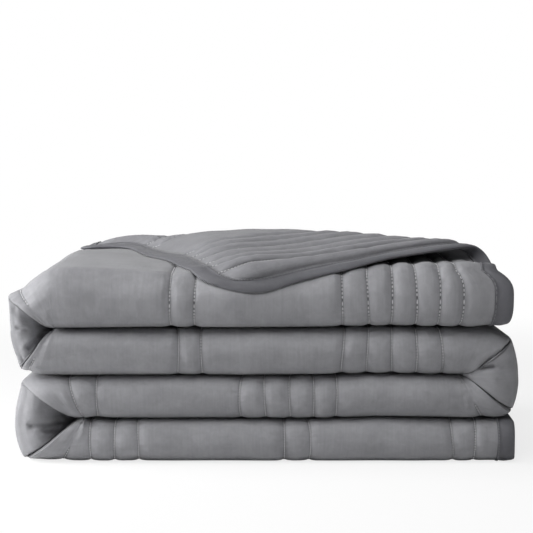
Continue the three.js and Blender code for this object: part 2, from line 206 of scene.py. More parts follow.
@dataclass(frozen=True)
class SeamGroup:
    """A group of quilting seams: where it starts in a tier and how many channels it has."""

    tier: int
    start_x: float
    channels: int


@dataclass(frozen=True)
class TurnSeam:
    """A quilting seam inside a turn, by its angle in degrees."""

    turn: int
    angle: float


@dataclass(frozen=True)
class SoftCrease:
    """A soft trough in the front of the stack, between two places (x, z) seen from the front."""

    start: tuple[float, float]
    end: tuple[float, float]
    width: float
    depth: float

    def depth_at(self, x: Array, z: Array) -> Array:
        """How far the trough sets the cloth back at some places seen from the front.

        Args:
            x: Places along the stack.
            z: Heights.

        Returns:
            Depths, positive towards the back.
        """
        (from_x, from_z), (to_x, to_z) = self.start, self.end
        run_x, run_z = to_x - from_x, to_z - from_z
        share = ((x - from_x) * run_x + (z - from_z) * run_z) / (run_x**2 + run_z**2)
        share = np.clip(share, 0.0, 1.0)
        distance = np.hypot(x - from_x - share * run_x, z - from_z - share * run_z)
        return self.depth * np.exp(-((distance / self.width) ** 2))


@dataclass(frozen=True)
class SoftRise:
    """A soft rise, or a dip, of the stack's top: its middle, its reach to each side and its height."""

    x: float
    y: float
    reach_x: float
    reach_y: float
    height: float

    def height_at(self, x: Array, y: Array) -> Array:
        """Height of the rise at some places seen from above.

        Args:
            x: Places along the stack.
            y: Depths from the front of the stack.

        Returns:
            Heights above the top layer.
        """
        along_x = np.clip(1.0 - ((x - self.x) / self.reach_x) ** 2, 0.0, 1.0)
        along_y = np.clip(1.0 - ((y - self.y) / self.reach_y) ** 2, 0.0, 1.0)
        return self.height * along_x**2 * along_y**2


@dataclass
class Stations:
    """Places along the cloth, with the sizes of the tier or turn there, one value for each place."""

    piece: Array
    is_turn: Array
    x: Array
    angle: Array
    height: Array
    front: Array
    back: Array
    pinch: Array
    tuck: Array
    # Share of painted shade in the pleats.
    shade: Array
    bend: Array
    gusset: Array
    gusset_power: Array
    flattening: Array
    thinning: Array
    spread: Array
    topness: Array
    outer_roundness: Array
    inner_roundness: Array
    outer_face: Array
    floor: Array
    face_up: Array
    side: Array
    apex_x: Array

    @classmethod
    def blank(cls, piece: Array) -> "Stations":
        """Stations on the given pieces, with nothing filled in yet.

        Args:
            piece: Number of the path's stretch at each place.

        Returns:
            The new stations.
        """
        values = {name: np.zeros(piece.shape) for name in cls.__dataclass_fields__}
        values["piece"] = piece
        values["is_turn"] = np.zeros(piece.shape, dtype=bool)
        values["outer_face"] = np.ones(piece.shape)
        return cls(**values)

    @property
    def pitch(self) -> Array:
        """Height of one layer with its gap."""
        return self.height / BlanketFold.LAYERS

    @property
    def thickness(self) -> Array:
        """Thickness of the cloth."""
        return self.pitch - BlanketFold.LAYER_GAP

    @property
    def outer_level(self) -> Array:
        """Level of the outer layers, up and down from the middle of the tier."""
        return BlanketFold.OUTER_LAYER * self.pitch

    @property
    def inner_level(self) -> Array:
        """Level of the inner layers, up and down from the middle of the tier."""
        return BlanketFold.INNER_LAYER * self.pitch

    def crease_share(self, level: Array) -> Array:
        """0 on a turn's outermost layer, 1 on the layer next to its crease."""
        outerness = self.outer_face * level / self.outer_level
        return np.clip((1.0 - outerness) / 2.0, 0.0, 1.0)

    def fill(self, inside: Array, **values: Array | float) -> None:
        """Fills in the named values at the stations that a mask picks."""
        for name, value in values.items():
            getattr(self, name)[inside] = value


@dataclass
class BlanketFold:
    """The folding of the cloth: sizes of the stack, and the map from the flat cloth to it."""

    LAYERS = 4
    # Levels of the outer and inner layers, in pitches from the middle of the tier.
    OUTER_LAYER = 1.5
    INNER_LAYER = 0.5
    LAYER_GAP = 1.3
    # Numbers of the first two stretches of the path.
    TOP_RUN = 0
    TOP_TURN = 1
    SMOOTHING_STEPS = 5
    TANGENT_STEP = 0.05
    DESIGN_CENTRE = (-3.077, 182.643, 0.591)

    depth: float = 378.0
    seam_gap: float = 0.4
    right_end_x: float = 245.0
    end_lean: float = 17.0
    end_lean_below: float = 0.1
    end_lean_power: float = 3.0
    end_tuck: float = 4.5
    end_spread: float = 0.15
    end_spread_reach: float = 24.0
    end_lean_reach: float = 100.0
    end_spread_fade: float = 40.0
    binding_width: float = 17.0
    corner_radius: float = 60.0
    roll_depth_share: float = 0.4
    roll_squareness: float = 1.08
    top_squareness: float = 1.05
    top_low_squareness: float = 0.58
    inner_roll_set_back: float = 6.0
    inner_gusset_set_back: float = 10.0
    pleat_sweep: float = math.radians(1.6)
    pleat_curve: float = math.radians(16.0)
    pleat_curve_power: float = 3.0
    tuck_depth: float = 15.0
    tuck_opening: float = math.radians(0.8)
    tuck_width: float = math.radians(1.0)
    tuck_closing: float = math.radians(0.8)
    tuck_roll_share: float = 0.35
    # Painted shade of the pleats: its lead before the lip, its width and its fade.
    shade_lead: float = math.radians(0.5)
    shade_width: float = math.radians(1.7)
    shade_fade: float = math.radians(1.2)
    outline_smoothing: float = 3.0
    turn_length: float = 110.0
    layer_length: float = 330.0
    outer_roll_length: float = 78.0
    tight_fold_length: float = 20.0
    fold_point: tuple[float, float] = (101.5, 143.0)
    fold_angle: float = math.radians(-36.1)
    fold_radii: tuple[float, float, float] = (4.2, 9.2, 11.0)
    fold_radius_at: tuple[float, float, float] = (-228.0, -140.0, 190.0)
    fold_start_gather: float = 28.0
    fold_start_from_x: float = -85.0
    fold_start_span: float = 120.0
    fold_release: float = 34.0
    fold_release_from_x: float = -178.0
    fold_release_span: float = 62.0
    flap_turn_share: float = 0.75
    flap_settle_lengths: tuple[float, float, float] = (14.0, 36.0, 120.0)
    flap_start_lift: float = 5.2
    flap_air: float = 2.6
    flap_edge_lift: float = 10.8
    flap_edge_reach: float = 55.0
    drape_spread: float = 1.14
    # Middle, reach to each side and height of each rise.
    rises: tuple[SoftRise, ...] = tuple(SoftRise(*sizes) for sizes in (
        (75.0, 230.0, 296.0, 195.0, 12.0),
        (-205.0, 260.0, 95.0, 220.0, 7.0),
        (235.0, 70.0, 130.0, 190.0, 4.5),
        (-40.0, -20.0, 190.0, 170.0, -8.0),
        (-150.0, 240.0, 85.0, 190.0, -5.0),
        (-105.0, 110.0, 50.0, 130.0, -2.5),
        (140.0, 150.0, 90.0, 120.0, 2.5),
    ))
    rise_turn: float = math.radians(50.0)
    sway: float = 1.3
    front_unevenness: float = 1.7
    front_from_y: float = 60.0
    front_span_y: float = 90.0
    front_ripple_stretch: float = 1.8
    front_clear_of_floor: float = 30.0
    level_unevenness: float = 0.9
    level_clear_of_floor: float = 60.0
    tiers: tuple[Tier, ...] = (
        Tier(floor=142.0, height=65.0, face_up=1, front=0.0, back=0.0),
        Tier(floor=91.5, height=50.5, face_up=-1, front=3.0, back=5.0),
        Tier(floor=45.5, height=46.0, face_up=1, front=5.0, back=2.0),
        Tier(floor=0.0, height=45.5, face_up=-1, front=2.0, back=7.0),
    )
    turns: tuple[Turn, ...] = (
        Turn(
            side=-1, apex_x=-221.0, tips=(57.5, 138.5),
            outline=(
                (0, 65), (10, 61.5), (22, 57), (36, 55), (48, 58.2), (57, 63), (64, 57), (74, 52.3),
                (90, 49.5), (112, 51.5), (128, 54.8), (138, 60.5), (152, 55.4), (166, 52.3), (180, 50.5),
            ),
            gusset_depth=42.0, gusset_power=1.5, flattening=0.25, thinning=0.65, roundness=(1.35, 1.35),
        ),
        Turn(
            side=1, apex_x=203.0, tips=(56.0, 124.0),
            outline=(
                (0, 50.5), (15, 53), (33, 60), (45, 63.5), (56, 69), (64, 67), (75, 65.6), (90, 65),
                (105, 67.5), (117, 70), (124, 71), (131, 68.5), (139, 61), (152, 53), (166, 48), (180, 46),
            ),
            gusset_depth=7.0, gusset_power=1.2, flattening=-0.08, thinning=0.2, roundness=(1.0, 0.7),
        ),
        Turn(
            side=-1, apex_x=-191.0, tips=(62.5, 125.5),
            outline=(
                (0, 46), (15, 50), (30, 57), (43, 66), (52, 73), (62, 80.5), (68, 78), (78, 77), (90, 77.8),
                (102, 80.5), (113, 82), (125, 84), (136, 70), (150, 55), (165, 48.5), (180, 45.5),
            ),
            gusset_depth=47.0, gusset_power=1.5, flattening=0.25, thinning=0.65, roundness=(1.35, 1.35),
        ),
    )
    # Start, end, width and depth of each crease.
    creases: tuple[SoftCrease, ...] = tuple(SoftCrease(*sizes) for sizes in (
        ((-250, 121), (-237, 133), 2.6, 5.0),
        ((-254, 122), (-240, 138), 4.5, -2.0),
        ((-261, 142), (-253, 141), 2.2, 2.4),
        ((-264, 160), (-252, 152), 4.0, 1.6),
        ((-250, 36), (-222, 39), 3.4, 5.6),
        ((-234, 31), (-223, 32), 2.2, 5.0),
        ((-252, 30), (-240, 29), 3.0, 1.4),
        ((-250, 20), (-238, 14), 4.0, 1.4),
        ((-212, 101), (-201, 117), 3.0, 0.8),
        ((-201, 104), (-190, 121), 3.0, 0.7),
        ((-218, 72), (-209, 55), 3.2, 1.3),
        ((-211, 74), (-203, 56), 3.0, -0.9),
        ((227, 102), (236, 104), 3.0, 5.0),
        ((236, 103), (260, 99), 2.8, 1.6),
        ((238, 109), (256, 110), 4.5, -1.8),
        ((247, 88), (256, 78), 5.0, 2.4),
        ((216, 112), (226, 128), 3.6, 1.0),
        ((226, 114), (240, 128), 3.4, 0.9),
        ((204, 54), (207, 72), 3.6, 0.9),
        ((214, 54), (216, 68), 3.2, 0.8),
        ((-150, 56), (-138, 80), 6.0, 0.7),
        ((120, 52), (132, 70), 6.0, 0.7),
        ((-40, 98), (-20, 126), 8.0, 0.8),
        ((-190, 160), (-160, 190), 9.0, 0.9),
        ((-120, 150), (-104, 172), 7.0, 0.7),
        ((30, 150), (52, 166), 8.0, 0.8),
        ((-90, 10), (-72, 34), 7.0, 0.7),
        ((110, 12), (132, 34), 8.0, 0.8),
    ))
    path: tuple[PathPiece, ...] = field(init=False)

    def __post_init__(self) -> None:
        """Works out the path along the cloth and the places that follow from it."""
        self.path = self.lay_path()
        self.path_ends = np.array([piece.end for piece in self.path])
        self.length = self.path[-1].end
        self.top_run, self.top_turn = self.path[:2]
        upper_tip = self.turns[0].tip_angles()[0]
        self.flap_end = self.top_turn.start + self.turn_length * self.flap_turn_share * upper_tip / math.pi
        tight, layer = self.tight_fold_length, self.layer_length
        pieces = [layer, self.outer_roll_length, layer, tight, layer, tight, layer]
        self.width_pieces = np.array(pieces)
        self.width_starts = np.concatenate([[0.0], np.cumsum(pieces)[:-1]])
        self.width = float(sum(pieces))
        self.roll_end = layer + self.outer_roll_length
        self.fold_normal = (-math.sin(self.fold_angle), math.cos(self.fold_angle))
        top = self.stations(np.array([self.top_run.length / 2]))
        self.top_rise = float(top.outer_level[0])
        self.top_z = self.tiers[0].floor + self.tiers[0].height / 2 + self.top_rise
        self.top_roll_y = float(self.section(np.array([layer]), top)[0][0])
        self.flap_lift = float(top.thickness[0]) + self.flap_air
        self.front_ripples = Ripples(seed=11, shortest=70.0, longest=170.0)
        self.level_ripples = Ripples(seed=23, shortest=110.0, longest=240.0)
        self.sway_ripples = Ripples(seed=37, shortest=50.0, longest=140.0)

    def lay_path(self) -> tuple[PathPiece, ...]:
        """Lays the runs and turns end to end, from the top tier's right end.

        Returns:
            The stretches, in order.
        """
        apexes = [turn.apex_x for turn in self.turns]
        starts, ends = [self.right_end_x, *apexes], [*apexes, self.right_end_x]
        pieces: list[PathPiece] = []
        start = 0.0
        for index, (from_x, to_x) in enumerate(zip(starts, ends)):
            heading = 1 if to_x > from_x else -1
            pieces.append(PathPiece(PathKind.RUN, index, start, abs(to_x - from_x), from_x, heading))
            start = pieces[-1].end
            if index < len(self.turns):
                pieces.append(PathPiece(PathKind.TURN, index, start, self.turn_length))
                start = pieces[-1].end
        return tuple(pieces)

    def along_of(self, tier: int, x: float) -> float:
        """Distance along the cloth of an x on a tier's run."""
        run = self.path[2 * tier]
        return run.start + (x - run.start_x) * run.heading

    def along_of_angle(self, turn: int, degrees: float) -> float:
        """Distance along the cloth of an angle in a turn."""
        return self.path[2 * turn + 1].start + self.turn_length * degrees / HALF_TURN_DEGREES

    def turn_reach(self, index: int, angle: Array) -> Array:
        """Outline distance of a turn from its crease.

        Args:
            index: Which turn.
            angle: Angles down from the upper tier, in radians.

        Returns:
            Distances, kept between the top of the upper tier and the underside of the lower one.
        """
        knots, reach = np.array(self.turns[index].outline, dtype=float).T
        shifts = np.linspace(-self.outline_smoothing, self.outline_smoothing, self.SMOOTHING_STEPS)
        wanted = np.mean([np.interp(np.degrees(angle) + shift, knots, reach) for shift in shifts], axis=0)
        upper, lower = self.tiers[index].height, self.tiers[index + 1].height
        limit = np.where(angle < math.pi / 2, upper, lower) / np.maximum(np.abs(np.cos(angle)), TINY)
        return np.minimum(wanted, limit)

    def stations(self, along: Array) -> Stations:
        """Tier or turn, and its sizes, at some places along the cloth.

        Args:
            along: Places along the length.

        Returns:
            The stations.
        """
        piece_index = np.searchsorted(self.path_ends, along, side="left").clip(0, len(self.path) - 1)
        found = Stations.blank(piece_index)
        for number, piece in enumerate(self.path):
            inside = piece_index == number
            if not inside.any():
                continue
            local = along[inside] - piece.start
            if piece.kind is PathKind.RUN:
                self.fill_run(found, inside, piece, local)
            else:
                self.fill_turn(found, inside, piece, local)
        return found

    def fill_run(self, found: Stations, inside: Array, piece: PathPiece, local: Array) -> None:
        """Fills in the stations of one run.

        Args:
            found: Stations to fill in.
            inside: Which of them are on the stretch.
            piece: The stretch.
            local: Distances from the start of the stretch.
        """
        tier = self.tiers[piece.index]
        to_end = np.minimum(piece.start + local, self.path[-1].end - piece.start - local)
        found.fill(
            inside,
            x=piece.start_x + piece.heading * local,
            height=tier.height,
            front=tier.front,
            back=tier.back,
            floor=tier.floor,
            face_up=tier.face_up,
            topness=1.0 if piece is self.top_run else 0.0,
            spread=self.end_spread * (1.0 - ease(to_end / self.end_spread_reach)),
        )

    def fill_turn(self, found: Stations, inside: Array, piece: PathPiece, local: Array) -> None:
        """Fills in the stations of one turn.

        Args:
            found: Stations to fill in.
            inside: Which of them are on the stretch.
            piece: The stretch.
            local: Distances from the start of the stretch.
        """
        turn = self.turns[piece.index]
        upper, lower = self.tiers[piece.index], self.tiers[piece.index + 1]
        share = local / piece.length
        angle = math.pi * share
        upper_tip, lower_tip = turn.tip_angles()
        into, out = angle - upper_tip, lower_tip - angle
        bends = np.array([0.0, upper_tip, (upper_tip + lower_tip) / 2, lower_tip, math.pi])
        found.fill(
            inside,
            is_turn=True,
            angle=angle,
            height=self.turn_reach(piece.index, angle),
            front=lerp(upper.front, lower.front, share),
            back=lerp(upper.back, lower.back, share),
            pinch=ease(into / self.pleat_sweep) * ease(out / self.pleat_sweep),
            tuck=self.tuck_share(into) + self.tuck_share(out),
            shade=self.shade_share(into) + self.shade_share(out),
            bend=eased_between(angle, bends, np.array([0.0, 1.0, 0.0, -1.0, 0.0])),
            gusset=turn.gusset_depth,
            gusset_power=turn.gusset_power,
            flattening=turn.flattening,
            thinning=turn.thinning,
            outer_roundness=turn.roundness[0],
            inner_roundness=turn.roundness[1],
            topness=1.0 - share if piece is self.top_turn else 0.0,
            outer_face=upper.face_up,
            floor=upper.floor,
            side=turn.side,
            apex_x=turn.apex_x,
        )

    def tuck_share(self, past: Array) -> Array:
        """Depth of a pleat as a share of its full depth, by the angle past its tip."""
        return ease(past / self.tuck_opening) * (1.0 - ease((past - self.tuck_width) / self.tuck_closing))

    def shade_share(self, past: Array) -> Array:
        """How much painted shade a pleat gets, by the angle past its tip: from its lip to just beyond it."""
        lead = ease((past + self.shade_lead) / self.shade_lead)
        return lead * (1.0 - ease((past - self.shade_width) / self.shade_fade))

    def gusset_set_back(self, at: Stations, level: Array) -> Array:
        """How far the gusset sets a layer's front back, by the layer's level in the tier."""
        return at.pinch * at.gusset * at.crease_share(level) ** at.gusset_power

    def roll_power(self, at: Stations, share: Array, cosine: Array) -> Array:
        """Power that shapes the front roll: square in the tiers, of its own roundness in a gusset.

        Args:
            at: The stations.
            share: Shares of the way round the roll.
            cosine: Cosines of the angles round the roll.

        Returns:
            Powers for the roll's sine and cosine.
        """
        first_half = lerp(self.roll_squareness, self.top_squareness, at.topness)
        second_half = lerp(self.roll_squareness, self.top_low_squareness, at.topness)
        squareness = np.where(share < 0.5, first_half, second_half)
        roundness = np.where(at.outer_face * cosine > 0.0, at.outer_roundness, at.inner_roundness)
        return lerp(squareness, roundness, at.pinch)

    def section(self, across: Array, at: Stations) -> tuple[Array, Array]:
        """Middle of the cloth in a tier's section.

        Args:
            across: Places across the width.
            at: The stations of these places.

        Returns:
            Depths from the front of the stack, and levels from the middle of the tier.
        """
        outer, inner = at.outer_level, at.inner_level
        full_bulge = at.height * self.roll_depth_share
        bulge = full_bulge * (1.0 - at.flattening * at.pinch)
        roll_y = at.thickness / 2 + full_bulge + at.front
        inner_set_back = self.inner_roll_set_back + self.inner_gusset_set_back * at.pinch
        deepest = self.gusset_set_back(at, -at.outer_face * inner)
        inner_roll_y = roll_y + np.maximum(0.0, outer - bulge) + inner_set_back + deepest
        edge_y = self.depth - self.binding_width - self.seam_gap - at.back
        back_fold_y = self.depth - at.back - inner - at.thickness / 2

        kind = np.searchsorted(np.cumsum(self.width_pieces)[:-1], across, side="left")
        share = (across - self.width_starts[kind]) / self.width_pieces[kind]
        cosine, sine = np.cos(math.pi * share), np.sin(math.pi * share)
        power = self.roll_power(at, share, cosine)
        roll_level = outer * signed_power(cosine, power)
        roll_bulge = bulge * signed_power(sine, power)
        tuck = self.tuck_depth * at.tuck * ease(sine / self.tuck_roll_share)
        roll_front = roll_y + self.gusset_set_back(at, roll_level) + tuck
        upper_front = roll_y + self.gusset_set_back(at, outer)
        lower_front = roll_y + self.gusset_set_back(at, -outer)
        pieces = [kind == number for number in range(len(self.width_pieces))]
        y = np.select(pieces, [
            lerp(edge_y, upper_front, share),
            roll_front - roll_bulge,
            lerp(lower_front, back_fold_y, share),
            back_fold_y + inner * sine,
            lerp(back_fold_y, inner_roll_y, share),
            inner_roll_y - inner * sine,
            lerp(inner_roll_y, edge_y, share),
        ])
        level = np.select(pieces, [
            outer, roll_level, -outer, -at.pitch - inner * cosine, -inner, -inner * cosine, inner,
        ])
        return y, level * (1.0 + at.spread)

    def offset_section(self, across: Array, offset: Array, at: Stations) -> tuple[Array, Array]:
        """Depths and levels moved off the middle of the cloth, towards its face.

        Args:
            across: Places across the width.
            offset: Distances off the middle of the cloth, towards its face.
            at: The stations of these places.

        Returns:
            Depths and levels of the moved places.
        """
        y, level = self.section(across, at)
        y_before, level_before = self.section(across - self.TANGENT_STEP, at)
        y_after, level_after = self.section(across + self.TANGENT_STEP, at)
        y_run, level_run = y_after - y_before, level_after - level_before
        length = np.hypot(y_run, level_run)
        return y + offset * level_run / length, level - offset * y_run / length

    def fold_gather(self, x: Array) -> Array:
        """Extra cloth that the corner's fold takes near its start."""
        gather = self.fold_start_gather * ease((self.fold_start_from_x - x) / self.fold_start_span)
        return gather - self.fold_release * ease((self.fold_release_from_x - x) / self.fold_release_span)

    def along_fold(self, x: Array, sizes: tuple[float, float, float]) -> Array:
        """A size that changes along the corner's fold, from its start to the bound end.

        Args:
            x: Places along the stack.
            sizes: The size at the fold's start, middle and end.

        Returns:
            The size at each place.
        """
        low, middle, high = self.fold_radius_at
        first, second, third = sizes
        change = (third - second) * ease((x - middle) / (high - middle))
        return lerp(first, second, ease((x - low) / (middle - low))) + change

    def bend_radius(self, x: Array) -> Array:
        """Radius of the corner's soft bend: tight where the fold starts, loose at the bound end."""
        return self.along_fold(x, self.fold_radii)

    def beyond_fold(self, x: Array, y: Array) -> Array:
        """Distance beyond the fold line of the turned-over corner.

        Args:
            x: Places along the stack.
            y: Depths from the front of the stack.

        Returns:
            Distances, negative before the line.
        """
        along_x = (x - self.fold_point[0]) * self.fold_normal[0]
        along_y = (y - self.fold_point[1]) * self.fold_normal[1]
        return along_x + along_y + self.fold_gather(x)

    def fold_y(self, x: Array) -> Array:
        """Depth at which the fold line crosses an x of the top layer."""
        along_x = (x - self.fold_point[0]) * self.fold_normal[0] + self.fold_gather(x)
        return self.fold_point[1] - along_x / self.fold_normal[1]

    def dome(self, x: Array, y: Array) -> Array:
        """Soft rises and dips of the top layer."""
        return sum(rise.height_at(x, y) for rise in self.rises)

    def drape(self, x: Array, y: Array, lift: Array, offset: Array) -> Array:
        """Places of the flap, laid on the top layer and over the top tier's front roll.

        Args:
            x: Places along the stack.
            y: Depths from the front of the stack.
            lift: Heights of the flap's middle above the top layer.
            offset: Distances off the flap's middle, upwards.

        Returns:
            Places in the stack.
        """
        base = self.top_z + self.dome(x, y)
        past = np.maximum(self.top_roll_y - y, 0.0)
        bulge = self.tiers[0].height * self.roll_depth_share
        arc = self.drape_spread * (self.top_rise + bulge + 2.0 * lift) * math.pi / 4.0
        sweep = np.minimum(past / arc, 1.0) * math.pi / 2.0
        reach = lift + offset
        forward = (bulge + reach) * signed_power(np.sin(sweep), self.top_squareness)
        up = (self.top_rise + reach) * signed_power(np.cos(sweep), self.top_squareness)
        laid = y >= self.top_roll_y
        depth = np.where(laid, y, self.top_roll_y - forward)
        height = np.where(laid, base + reach, base - self.top_rise + up)
        return np.stack([x, depth, height], axis=-1)

    def corner_inset(self, along: Array) -> Array:
        """How far the rounded corners set the long edges in, near the ends of the cloth.

        Args:
            along: Places along the length.

        Returns:
            Distances across the width.
        """
        radius = self.corner_radius
        end_distance = np.clip(np.minimum(along, self.length - along), 0.0, radius)
        return radius - np.sqrt(radius**2 - (radius - end_distance) ** 2)

    def edge_distance(self, along: Array, across: Array) -> Array:
        """Distance from the nearest edge of the cloth.

        Args:
            along: Places along the length.
            across: Places across the width.

        Returns:
            Distances on the flat cloth.
        """
        inset = self.corner_inset(along)
        to_ends = np.minimum(along, self.length - along)
        to_sides = np.minimum(across - inset, self.width - inset - across)
        return np.minimum(to_ends, to_sides)

    def fold_over(self, x: Array, y: Array, offset: Array, to_edge: Array) -> Array:
        """Rolls what lies beyond the fold line over a soft bend and lays it back on the stack.

        Args:
            x: Places along the tier.
            y: Depths from the front of the stack.
            offset: Distances off the middle of the cloth, towards its face.
            to_edge: Distances from the cloth's edge.

        Returns:
            Places in the stack.
        """
        distance = self.beyond_fold(x, y)
        normal_x, normal_y = self.fold_normal
        foot_x, foot_y = x - distance * normal_x, y - distance * normal_y
        radius = self.bend_radius(foot_x)
        flat = np.stack([x, y, self.top_z + self.dome(x, y) + offset], axis=-1)

        bend = np.clip(distance / radius, 0.0, math.pi)
        out = (radius - offset) * np.sin(bend)
        up = radius - (radius - offset) * np.cos(bend)
        bent_z = self.top_z + self.dome(foot_x, foot_y) + up
        bent = np.stack([foot_x + out * normal_x, foot_y + out * normal_y, bent_z], axis=-1)

        laid = np.maximum(distance - math.pi * radius, 0.0)
        low, middle, _ = self.fold_radius_at
        started = ease((foot_x - low) / (middle - low))
        settled = ease(laid / self.along_fold(foot_x, self.flap_settle_lengths))
        full_lift = lerp(self.flap_edge_lift, self.flap_lift, ease(to_edge / self.flap_edge_reach))
        lift = lerp(2.0 * radius, lerp(self.flap_start_lift, full_lift, started), settled)
        turned = self.drape(foot_x - laid * normal_x, foot_y - laid * normal_y, lift, -offset)
        past_bend = distance >= math.pi * radius
        folded = np.where(past_bend[..., None], turned, bent)
        return np.where((distance > 0.0)[..., None], folded, flat)

    def turn_place(self, at: Stations, y: Array, level: Array) -> Array:
        """Places in a turn, round the crease between its two tiers.

        Args:
            at: The stations of these places.
            y: Depths from the front of the stack.
            level: Levels from the middle of the tier.

        Returns:
            Places in the stack.
        """
        radius = at.height / 2 + at.outer_face * level
        near_crease = at.crease_share(level) ** self.pleat_curve_power
        angle = at.angle + self.pleat_curve * at.bend * near_crease
        x = at.apex_x + at.side * radius * np.sin(angle)
        on_top = (at.piece == self.TOP_TURN) * (1.0 - ease(at.angle / self.rise_turn))
        rise = on_top * self.dome(at.apex_x, y) * radius / at.height
        return np.stack([x, y, at.floor + radius * np.cos(angle) + rise], axis=-1)

    def lean(self, at: Stations, level: Array) -> Array:
        """How far the top tier's right end leans inwards, above and a little below its middle.

        Args:
            at: The stations of these places.
            level: Levels from the middle of the tier.

        Returns:
            Distances along the stack.
        """
        height = np.minimum(level / at.outer_level, 1.0)
        lean = self.end_lean * np.abs(height) ** self.end_lean_power
        lean = self.end_tuck + lean * np.where(height > 0.0, 1.0, self.end_lean_below)
        to_end = self.right_end_x + self.binding_width - at.x
        return np.where(at.piece == self.TOP_RUN, lean * ease(1.0 - to_end / self.end_lean_reach), 0.0)

    def run_place(self, at: Stations, y: Array, level: Array) -> Array:
        """Places in a tier's run.

        Args:
            at: The stations of these places.
            y: Depths from the front of the stack.
            level: Levels from the middle of the tier.

        Returns:
            Places in the stack.
        """
        x = at.x - self.lean(at, level)
        middle = at.height / 2
        height_share = np.minimum(1.0, (middle + level) / (middle + at.outer_level))
        rise = np.where(at.piece == self.TOP_RUN, self.dome(x, y) * height_share, 0.0)
        return np.stack([x, y, at.floor + middle + at.face_up * level + rise], axis=-1)

    def on_top_layer(self, along: Array, across: Array) -> Array:
        """Whether places of the flat cloth are on the stack's top layer."""
        return (along <= self.flap_end) & (across < self.layer_length)

    def top_flat(self, along: Array, across: Array) -> tuple[Array, Array]:
        """Places x and y of the top layer, before its corner is turned over.

        Args:
            along: Places along the length.
            across: Places across the width.

        Returns:
            Places along the stack, and depths from its front.
        """
        at = self.stations(along)
        y, level = self.section(across, at)
        on_slope = self.turn_place(at, y, level)[..., 0]
        return np.where(at.is_turn, on_slope, at.x - self.lean(at, level)), y

    def top_layer_place(self, along: Array, across: Array, offset: Array, at: Stations) -> Array:
        """Places of the top layer, on the top run and on the first turn's slope.

        Args:
            along: Places along the length.
            across: Places across the width.
            offset: Distances off the middle of the cloth, towards its face.
            at: The stations of these places.

        Returns:
            Places in the stack.
        """
        y, level = self.section(across, at)
        on_slope = self.turn_place(at, y, level)
        flat_x = at.x - self.lean(at, level + offset)
        x = np.where(at.is_turn, on_slope[..., 0], flat_x)
        folded = self.fold_over(x, y, offset, self.edge_distance(along, across))
        folded[..., 2] += (level - at.outer_level) * ease(-self.beyond_fold(x, y) / self.end_spread_fade)
        rise = folded - np.stack([x, y, self.top_z + self.dome(x, y)], axis=-1)
        tilt = at.side * at.angle
        turned = np.stack([
            rise[..., 0] * np.cos(tilt) + rise[..., 2] * np.sin(tilt),
            rise[..., 1],
            rise[..., 2] * np.cos(tilt) - rise[..., 0] * np.sin(tilt),
        ], axis=-1)
        return np.where(at.is_turn[..., None], on_slope + turned, folded)

    def place(self, along: Array, across: Array, offset: Array) -> Array:
        """Folds places of the flat cloth into the stack.

        Args:
            along: Places along the length.
            across: Places across the width.
            offset: Distances off the middle of the cloth, towards its face.

        Returns:
            Places in the part's own frame, in metres.
        """
        at = self.stations(along + self.sway * self.sway_ripples.at(along, across))
        y, level = self.offset_section(across, offset, at)
        points = np.where(at.is_turn[..., None], self.turn_place(at, y, level), self.run_place(at, y, level))
        on_top = self.on_top_layer(along, across)
        points = np.where(on_top[..., None], self.top_layer_place(along, across, offset, at), points)
        return self.settle(points)

    def settle(self, points: Array) -> Array:
        """Adds the soft creases and the slight unevenness, and moves into the part's frame.

        Args:
            points: Places in the stack, in millimetres.

        Returns:
            Places in the part's own frame, in metres.
        """
        x, y, z = points[..., 0], points[..., 1], points[..., 2]
        near_front = 1.0 - ease((y - self.front_from_y) / self.front_span_y)
        trough = sum(crease.depth_at(x, z) for crease in self.creases)
        front = self.front_unevenness * self.front_ripples.at(x, self.front_ripple_stretch * z)
        front = front * ease(z / self.front_clear_of_floor)
        level = self.level_unevenness * self.level_ripples.at(x, y) * ease(z / self.level_clear_of_floor)
        moved = np.stack([x, y + near_front * (trough + front), z + level], axis=-1)
        return (moved - np.array(self.DESIGN_CENTRE)) * METRE_PER_MM


